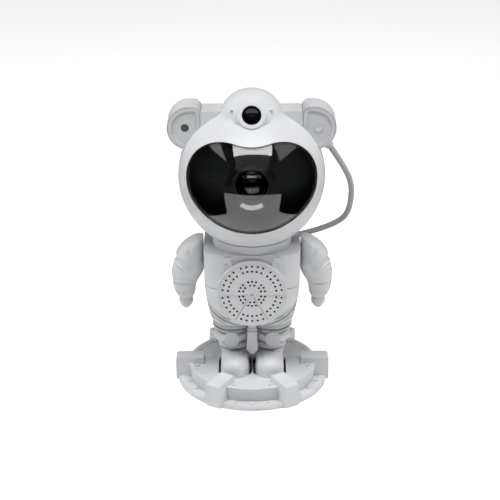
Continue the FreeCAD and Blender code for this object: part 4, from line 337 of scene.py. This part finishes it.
# braided polyester sleeve: strands cross in diamonds, most grey, a few pink, each with a soft sheen
def braid(name, look):
    material, tree, shader, place = newMaterial(name)
    where = addNode(tree, "UVMap", {"uv_map": "braid"})
    split = addNode(tree, "SeparateXYZ", Vector=(where, "UV"))
    strand = addNode(tree, "Math", {"operation": "ADD"}, i0=(split, "X"), i1=(split, "Y"))
    stripe = addNode(tree, "Math", {"operation": "FRACT"}, i0=(strand, "Value"))
    pick = addNode(tree, "ValToRGB", Fac=(stripe, "Value"))
    pick.color_ramp.interpolation = "CONSTANT"
    pick.color_ramp.elements[0].color = linear(look["colour"])
    pick.color_ramp.elements[1].position = look["mostly"]
    pick.color_ramp.elements[1].color = linear(look["fleck"])
    fuzz = addNode(tree, "TexNoise", Vector=place, Scale=1000 / look["fuzz"], Detail=2.0)
    tint = addNode(tree, "Mix", {"data_type": "RGBA"}, i0=(fuzz, "Fac"), i6=(pick, "Color"), i7=linear(look["shade"]))
    skin = addNode(tree, "Bump", Strength=0.4, Distance=0.08 * mm, Height=(fuzz, "Fac"))
    feed(tree, shader, Base_Color=(tint, "Result"), Roughness=0.8, Sheen_Weight=0.25, Sheen_Roughness=0.5,
         Normal=(skin, "Normal"))
    return material


finish["greyLead"] = braid("braidedSleeve", {"colour": "#c2bec0", "fleck": "#bb9aa4", "shade": "#a9a5a7",
                                             "mostly": 0.75, "fuzz": 0.5})

for name, members in dressed.items():
    for member in members:
        slots = nodes[member].data.materials
        slots.clear()
        slots.append(finish[name])
print("materials made:", len(finish))


# the four corners of each face of a grid whose columns close on themselves
def gridFaces(rows, columns):
    row, column = np.meshgrid(np.arange(rows - 1), np.arange(columns), indexing="ij")
    after = (column + 1) % columns
    return np.stack([row * columns + column, row * columns + after, (row + 1) * columns + after,
                     (row + 1) * columns + column], -1).reshape(-1, 4).tolist()


# a closed mesh from a grid of points: rows run along the form, columns round it, and a face caps each end
def gridPiece(name, points, material):
    rows, columns = points.shape[:2]
    faces = gridFaces(rows, columns)
    faces.append(list(range(columns))[::-1])
    faces.append([(rows - 1) * columns + i for i in range(columns)])
    mesh = bpy.data.meshes.new(name)
    mesh.from_pydata(points.reshape(-1, 3).tolist(), [], faces)
    mesh.update()
    mesh.materials.append(material)
    mesh.polygons.foreach_set("use_smooth", [True] * len(mesh.polygons))
    piece = bpy.data.objects.new(name, mesh)
    bpy.context.scene.collection.objects.link(piece)
    return piece


# in mm: two halves that meet where the lead stands out farthest to the side; step and round set how fine the tube is
lead = {"radius": 2.2, "strands": 7, "pitch": 11.0, "relief": 0.12, "step": 0.35, "round": 48, "stripes": 4,
        "upper": [(55.22, 5, 179.84), (63.4, 5, 168.2), (73.0, 14.0, 147.5), (72, 18.5, 135)],
        "lower": [(72, 18.5, 135), (71.5, 22.5, 123), (63, 30.5, 111.5), (42, 33.6, 102.5), (25, 34.3, 98.5)]}


# points evenly spaced along the NURBS curve that the corners pull on
def splinePath(name, corners, step):
    curve = bpy.data.curves.new(name, "CURVE")
    curve.dimensions = "3D"
    curve.resolution_u = 40
    spline = curve.splines.new("NURBS")
    spline.points.add(len(corners) - 1)
    for point, corner in zip(spline.points, corners):
        point.co = (*[c * mm for c in corner], 1.0)
    spline.order_u = 3
    spline.use_endpoint_u = True
    holder = bpy.data.objects.new(name, curve)
    bpy.context.scene.collection.objects.link(holder)
    bpy.context.view_layer.update()
    mesh = bpy.data.meshes.new_from_object(holder.evaluated_get(bpy.context.evaluated_depsgraph_get()))
    points = np.zeros(len(mesh.vertices) * 3)
    mesh.vertices.foreach_get("co", points)
    points = points.reshape(-1, 3)
    bpy.data.objects.remove(holder)
    bpy.data.meshes.remove(mesh)
    gaps = np.linalg.norm(np.diff(points, axis=0), axis=1)
    travelled = np.concatenate([[0], np.cumsum(gaps)])
    count = max(8, int(round(travelled[-1] / step)))
    even = np.linspace(0, travelled[-1], count + 1)
    return np.stack([np.interp(even, travelled, points[:, k]) for k in range(3)], -1), travelled[-1]


# a tube swept along the path, each ring standing across it; its radius swells where two families of helical strands
# cross: radius - relief + relief * sin(n * (turn + wave)) * sin(n * (turn - wave)), one wave to each pitch of the run
def leadTube(name, corners, start):
    path, length = splinePath(name + "Path", corners, lead["step"] * mm)
    ahead = np.gradient(path, axis=0)
    ahead /= np.linalg.norm(ahead, axis=1)[:, None]
    side = np.cross(ahead, (0.05, 1.0, 0.1))
    side /= np.linalg.norm(side, axis=1)[:, None]
    up = np.cross(side, ahead)
    turn = np.linspace(0, 2 * math.pi, lead["round"], endpoint=False)
    run = np.linspace(0, length, len(path))[:, None] + start
    wave = run * 2 * math.pi / (lead["pitch"] * mm)
    n, relief = lead["strands"], lead["relief"]
    radius = (lead["radius"] - relief + relief * np.sin(n * (turn + wave)) * np.sin(n * (turn - wave))) * mm
    outward = np.cos(turn)[None, :, None] * side[:, None] + np.sin(turn)[None, :, None] * up[:, None]
    points = path[:, None] + radius[..., None] * outward
    piece = gridPiece(name, points, finish["greyLead"])
    mesh = piece.data
    layer = mesh.uv_layers.new(name="braid")
    loops = np.zeros(len(mesh.loops), np.int32)
    mesh.loops.foreach_get("vertex_index", loops)
    columns = len(turn)
    across = (loops % columns) / columns * lead["stripes"]
    along = (loops // columns) / (len(path) - 1) * length / (lead["pitch"] * mm) * lead["stripes"]
    layer.data.foreach_set("uv", np.stack([across, along], -1).astype(np.float32).ravel())
    return piece, path, length


upperLead, upperPath, upperLength = leadTube("lead_upper_braid", lead["upper"], 0.0)
lowerLead, lowerPath, lowerLength = leadTube("lead_lower_braid", lead["lower"], upperLength)
print("lead lengths %.1f and %.1f mm" % (upperLength / mm, lowerLength / mm))
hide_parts("head_lead_upper")
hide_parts("head_lead_lower")
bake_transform(upperLead)
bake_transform(lowerLead)

# padded sleeve and glove, one moulding; creases run through (angle, height) points, the angle counted from the front
# outwards, and a ridge has a positive height
sleeve = {"inner": 34.95, "rows": 200, "round": 112, "power": 2.3,
          # height, inner edge, outer edge, front, back, how far the front stands higher
          "stations": [(114.3, 35.5, 37.0, -1.5, 1.5, 0), (114.0, 34.95, 40.0, -5.0, 5.0, 0),
                       (112.3, 34.95, 43.8, -8.0, 8.0, 0), (110.2, 34.95, 47.2, -9.6, 9.6, 0),
                       (107.8, 34.95, 50.2, -10.9, 10.9, 0), (105.0, 34.95, 52.4, -11.8, 11.8, 0),
                       (100.5, 34.95, 54.9, -12.5, 12.5, 0), (96.5, 34.95, 56.4, -12.7, 12.7, 0),
                       (92.0, 34.95, 57.2, -12.6, 12.4, 0), (88.0, 35.3, 57.9, -12.3, 12.0, 0),
                       (85.0, 36.6, 58.2, -12.0, 11.6, 0), (80.4, 39.3, 58.2, -11.5, 10.8, 0.2),
                       (76.0, 40.9, 57.7, -10.9, 9.9, 0.5), (72.0, 41.3, 56.7, -10.0, 8.9, 0.8),
                       (69.5, 41.8, 55.7, -9.2, 8.1, 1.1), (67.6, 42.6, 54.5, -8.2, 7.2, 1.3),
                       (66.5, 43.3, 53.6, -7.2, 6.3, 1.4), (66.1, 44.1, 52.8, -6.3, 5.5, 1.4),
                       (65.3, 43.5, 53.5, -6.4, 5.4, 1.3), (63.6, 43.2, 53.6, -6.4, 5.2, 1.0),
                       (61.6, 43.5, 53.2, -6.0, 4.9, 0.6), (59.9, 44.5, 52.2, -5.3, 4.2, 0.3),
                       (58.6, 45.9, 50.8, -4.2, 3.1, 0), (57.7, 47.2, 49.4, -2.5, 1.5, 0),
                       (57.4, 48.2, 48.5, -0.8, -0.2, 0)],
          # points, width, height
          "creases": [([(-30, 91.0), (3, 92.6), (30, 96.0), (66, 97.4), (112, 96.6), (150, 94.0)], 3.0, -1.45),
                      ([(-30, 96.5), (3, 98.5), (30, 101.5), (66, 102.6), (112, 102.0), (150, 99.5)], 4.2, 0.65),
                      ([(-8, 89.2), (5, 90.4), (27, 93.1), (54, 95.4), (90, 95.6), (120, 94.4)], 0.9, 1.09),
                      ([(0, 88.9), (15, 90.2), (43, 92.6), (70, 93.5), (100, 93.2)], 0.8, -0.51),
                      ([(5, 88.2), (20, 89.6), (43, 91.4), (70, 92.1), (100, 91.6)], 0.9, 0.58),
                      ([(-20, 86.0), (20, 86.5), (70, 87.4), (110, 87.0)], 3.2, 0.58),
                      ([(-35, 81.3), (0, 81.4), (45, 81.4), (80, 81.0)], 0.7, 0.51),
                      ([(-45, 79.9), (0, 80.0), (50, 79.9), (95, 79.2)], 0.8, -0.65),
                      ([(-35, 78.7), (0, 78.8), (50, 78.7), (80, 78.2)], 0.7, 0.43),
                      ([(-20, 71.4), (5, 72.0), (30, 73.4), (70, 74.2)], 0.9, -0.51),
                      ([(-20, 69.8), (5, 70.3), (30, 71.6), (70, 72.4)], 0.9, 0.43),
                      ([(-12, 101.5), (0, 104.5), (22, 109.2), (42, 111.4)], 1.1, -0.72),
                      ([(-4, 100.0), (8, 103.0), (27, 107.0), (46, 109.4)], 1.2, 0.72),
                      ([(0, 98.4), (14, 101.4), (33, 105.0), (50, 107.0)], 1.1, -0.51),
                      ([(140, 88.0), (180, 90.0), (220, 88.5)], 1.6, -0.87),
                      ([(130, 82.5), (175, 83.5), (225, 82.0)], 1.4, -0.72)],
          "slopeOver": 4, "mmPerDegree": 0.2, "fadeOver": 22,
          "thumb": {"angle": -62, "height": 93.09, "spread": 34, "tall": 2.2, "out": 1.1}}


# natural flow through the rows of a table: a cubic through each four neighbours, sampled at count points
def smoothRows(table, count):
    table = np.array(table, float)
    padded = np.vstack([2 * table[0] - table[1], table, 2 * table[-1] - table[-2]])
    at = np.linspace(0, len(table) - 1 - 1e-9, count)
    k = at.astype(int)
    t = (at - k)[:, None]
    a, b, c, d = padded[k], padded[k + 1], padded[k + 2], padded[k + 3]
    return 0.5 * (2 * b + (c - a) * t + (2 * a - 5 * b + 4 * c - d) * t ** 2 + (3 * b - a - 3 * c + d) * t ** 3)


# a crease: tall * exp(-(distance across / width)^2) along a line through its points, fading out over its ends
def crease(height, angle, points, width, tall):
    angles, heights = zip(*points)
    line = np.interp(angle, angles, heights)
    reach = sleeve["slopeOver"]
    rise = np.interp(angle + reach, angles, heights) - np.interp(angle - reach, angles, heights)
    slope = rise / (2 * reach * sleeve["mmPerDegree"])
    gap = (height - line) / np.sqrt(1 + slope ** 2) / width
    fade = np.clip(np.minimum(angle - angles[0], angles[-1] - angle) / sleeve["fadeOver"], 0, 1)
    return tall * fade * fade * (3 - 2 * fade) * np.exp(-gap ** 2)


# each ring is a superellipse |x/a|^p + |y/b|^p = 1, flat where it meets the trunk; creases push it in and out
def makeSleeve(name, sign):
    rows = smoothRows(sleeve["stations"], sleeve["rows"])
    turn = np.linspace(0, 2 * math.pi, sleeve["round"], endpoint=False)[None]
    height, inner, outer, front, back, rise = [rows[:, k][:, None] for k in range(6)]
    cosine, sine = np.cos(turn), np.sin(turn)
    angle = (np.degrees(turn) + 180) % 360 - 90  # 0 front, 90 outwards, 180 back, -90 inwards
    push = sum(crease(height, angle, *look) for look in sleeve["creases"])
    thumb = sleeve["thumb"]
    push = push + thumb["out"] * np.exp(-((angle - thumb["angle"]) / thumb["spread"]) ** 2
                                        - ((height - thumb["height"]) / thumb["tall"]) ** 2)
    p = 2 / sleeve["power"]
    a = (outer - inner) / 2 + push
    b = np.where(sine < 0, -front, back) + push
    x = np.maximum((outer + inner) / 2 + a * np.sign(cosine) * np.abs(cosine) ** p, sleeve["inner"])
    y = b * np.sign(sine) * np.abs(sine) ** p
    points = np.stack([sign * x, y, height - rise * sine], -1) * mm
    return gridPiece(name, points[:, ::-int(sign)], finish["whiteAbs"])


for name, sign in (("left_arm", -1), ("right_arm", 1)):
    arm = makeSleeve(name + "_sleeve", sign)
    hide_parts(name)
    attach(arm, name)
print("sleeves made")

# white paper floor under one wide softbox overhead, with a weak panel at each side; black cloth hangs round the set,
# seen only in reflections, and leaves a fan of paper in front; four cards glow in the reflections above it
studio = {"paper": "#f0f0ef", "lift": 0.62, "sky": 0.10, "skyTint": "#f1f3f7", "aim": (0, 0, 0.12),
          "lamps": [{"name": "overheadPanel", "size": (1.5, 0.5), "place": (0.0, -0.42, 1.4), "watts": 18.8},
                    {"name": "leftPanel", "size": (0.5, 0.4), "place": (-1.0, -0.05, 0.4), "watts": 3.4},
                    {"name": "rightPanel", "size": (0.5, 0.4), "place": (1.0, -0.05, 0.4), "watts": 3.4}]}

# in metres: the tent is a half ball from the fan's edge, which lies just above the floor, up to topAngle degrees
tent = {"cloth": "#0b0b0b", "radius": 3.0, "rows": 16, "round": 96, "topAngle": 88, "middle": -0.25, "lying": 0.001,
        "fan": [(-0.175, 0.30), (-0.169, -0.010), (-0.123, -0.152), (-0.495, -0.555), (-0.30, -0.68), (0.0, -0.71),
                (0.28, -0.64), (0.450, -0.456), (0.142, -0.153), (0.176, -0.004), (0.18, 0.30)]}

# corners as (bearing, elevation) in degrees, at reach metres from a point at the visor's height
boards = {"reach": 1.3, "middle": (0, 0, 0.16),
          "cards": [{"corners": [(-55, 57), (60, 57), (42, 42), (-37, 42)], "glow": 5.6},
                    {"corners": [(-98, 33), (-86, 48), (-46, 32)], "glow": 1.0},
                    {"corners": [(62, 57), (103, 29), (52, 31)], "glow": 0.7},
                    {"corners": [(-36, 44), (38, 44), (26, 22), (-26, 22)], "glow": 0.2}]}

# a glowing arc lying on the paper in front, seen only in reflections: a painted highlight for the bright crescent in
# the visor
arc = {"glow": 4.4, "lying": 0.002,
       "corners": [(-0.088, -0.350), (-0.094, -0.285), (-0.064, -0.258), (-0.031, -0.240), (0.0, -0.233),
                   (0.031, -0.240), (0.064, -0.256), (0.089, -0.275), (0.086, -0.350), (0.048, -0.320),
                   (0.0, -0.308), (-0.044, -0.318)]}


# part of the set; what is reflectedOnly shows in polished parts and does nothing else
def stageMesh(name, points, faces, material, reflectedOnly):
    mesh = bpy.data.meshes.new(name)
    mesh.from_pydata(points, [], faces)
    mesh.materials.append(material)
    thing = bpy.data.objects.new(name, mesh)
    bpy.context.scene.collection.objects.link(thing)
    if reflectedOnly:
        thing.visible_camera = thing.visible_diffuse = thing.visible_shadow = False
    return thing


# even daylight on the object, plain white where it is seen
def addWorld():
    world = bpy.data.worlds.new("studioWorld")
    bpy.context.scene.world = world
    world.use_nodes = True
    tree = world.node_tree
    tree.nodes.clear()
    rays = addNode(tree, "LightPath")
    direct = addNode(tree, "Math", {"operation": "MAXIMUM"}, i0=(rays, "Is Camera Ray"),
                     i1=(rays, "Is Transmission Ray"))
    seen = addNode(tree, "Math", {"operation": "MAXIMUM"}, i0=(direct, "Value"), i1=(rays, "Is Glossy Ray"))
    even = addNode(tree, "Background", Color=linear(studio["skyTint"]), Strength=studio["sky"])
    plain = addNode(tree, "Background", Color=(1, 1, 1, 1), Strength=1.0)
    mix = addNode(tree, "MixShader", Fac=(seen, "Value"), i1=(even, "Background"), i2=(plain, "Background"))
    addNode(tree, "OutputWorld", Surface=(mix, "Shader"))


def addFloor():
    material, tree, shader, _ = newMaterial("paperSweep")  # matt white paper, which prints as plain white
    rays = addNode(tree, "LightPath")
    seen = addNode(tree, "Math", {"operation": "MAXIMUM"}, i0=(rays, "Is Camera Ray"),
                   i1=(rays, "Is Transmission Ray"))
    lift = addNode(tree, "Math", {"operation": "MULTIPLY"}, i0=(seen, "Value"), i1=studio["lift"])
    feed(tree, shader, Base_Color=linear(studio["paper"]), Roughness=1.0, Emission_Color=(1, 1, 1, 1),
         Emission_Strength=(lift, "Value"))
    corners = [(x, y, 0) for x, y in ((-6, -6), (6, -6), (6, 6), (-6, 6))]
    stageMesh("studioFloor", corners, [(0, 1, 2, 3)], material, False)


# rings of the upper half of a ball, joined along the floor to the edge of the fan, each point on its own bearing
def addTent():
    cloth, tree, shader, _ = newMaterial("blackVelvet")  # drinks the light, so polished parts go dark
    feed(tree, shader, Base_Color=linear(tent["cloth"]), Roughness=1.0, Specular_IOR_Level=0.0)
    closing = np.array(tent["fan"] + tent["fan"][:1])
    travelled = np.concatenate([[0], np.cumsum(np.linalg.norm(np.diff(closing, axis=0), axis=1))])
    columns, rings, lying = tent["round"], tent["rows"], tent["lying"]
    even = np.linspace(0, travelled[-1], columns, endpoint=False)
    edge = np.stack([np.interp(even, travelled, closing[:, k]) for k in (0, 1)], -1)
    bearing = np.unwrap(np.arctan2(edge[:, 1] - tent["middle"], edge[:, 0]))
    bearing = np.sort(bearing) if bearing[-1] > bearing[0] else -np.sort(-bearing)
    climb = np.radians(np.linspace(0, tent["topAngle"], rings))[:, None]
    level = np.broadcast_to(tent["radius"] * np.sin(climb) + lying, (rings, columns))
    ball = np.stack([tent["radius"] * np.cos(climb) * np.cos(bearing), tent["radius"] * np.cos(climb) * np.sin(bearing),
                     level], -1)
    points = np.concatenate([np.dstack([edge[None, :, 0], edge[None, :, 1], np.full((1, columns), lying)]), ball])
    faces = gridFaces(rings + 1, columns) + [[rings * columns + i for i in range(columns)]]
    stageMesh("blackTent", points.reshape(-1, 3).tolist(), faces, cloth, True)


# a flat card that glows by itself and shows in reflections alone
def addCard(name, points, glow):
    card, tree, shader, _ = newMaterial(name + "Light")
    feed(tree, shader, Base_Color=linear("#000000"), Emission_Color=(1, 1, 1, 1), Emission_Strength=glow)
    stageMesh(name, points, [tuple(range(len(points)))], card, True)


def addCards():
    for k, look in enumerate(boards["cards"]):
        turn, rise = np.radians(np.array(look["corners"], float)).T
        ray = np.stack([np.sin(turn) * np.cos(rise), -np.cos(turn) * np.cos(rise), np.sin(rise)], -1)
        addCard("sideBoard%d" % k, (boards["reach"] * ray + boards["middle"]).tolist(), look["glow"])
    # painted highlight: a glowing arc on the paper that shows only in the visor's reflection
    addCard("visorHighlightCard", [(x, y, arc["lying"]) for x, y in arc["corners"]], arc["glow"])


def addLamps():
    for lamp in studio["lamps"]:
        data = bpy.data.lights.new(lamp["name"], "AREA")
        data.shape = "RECTANGLE"
        data.size, data.size_y = lamp["size"]
        data.energy = lamp["watts"]
        light = bpy.data.objects.new(lamp["name"], data)
        bpy.context.scene.collection.objects.link(light)
        light.location = lamp["place"]
        light.rotation_euler = (Vector(studio["aim"]) - Vector(lamp["place"])).to_track_quat("-Z", "Y").to_euler()
        light.visible_glossy = light.visible_transmission = False  # polished parts show the cards instead


addWorld()
addFloor()
addTent()
addCards()
addLamps()
bpy.context.scene.view_settings.view_transform = "Standard"
print("studio lit:", len(studio["lamps"]), "lamps")
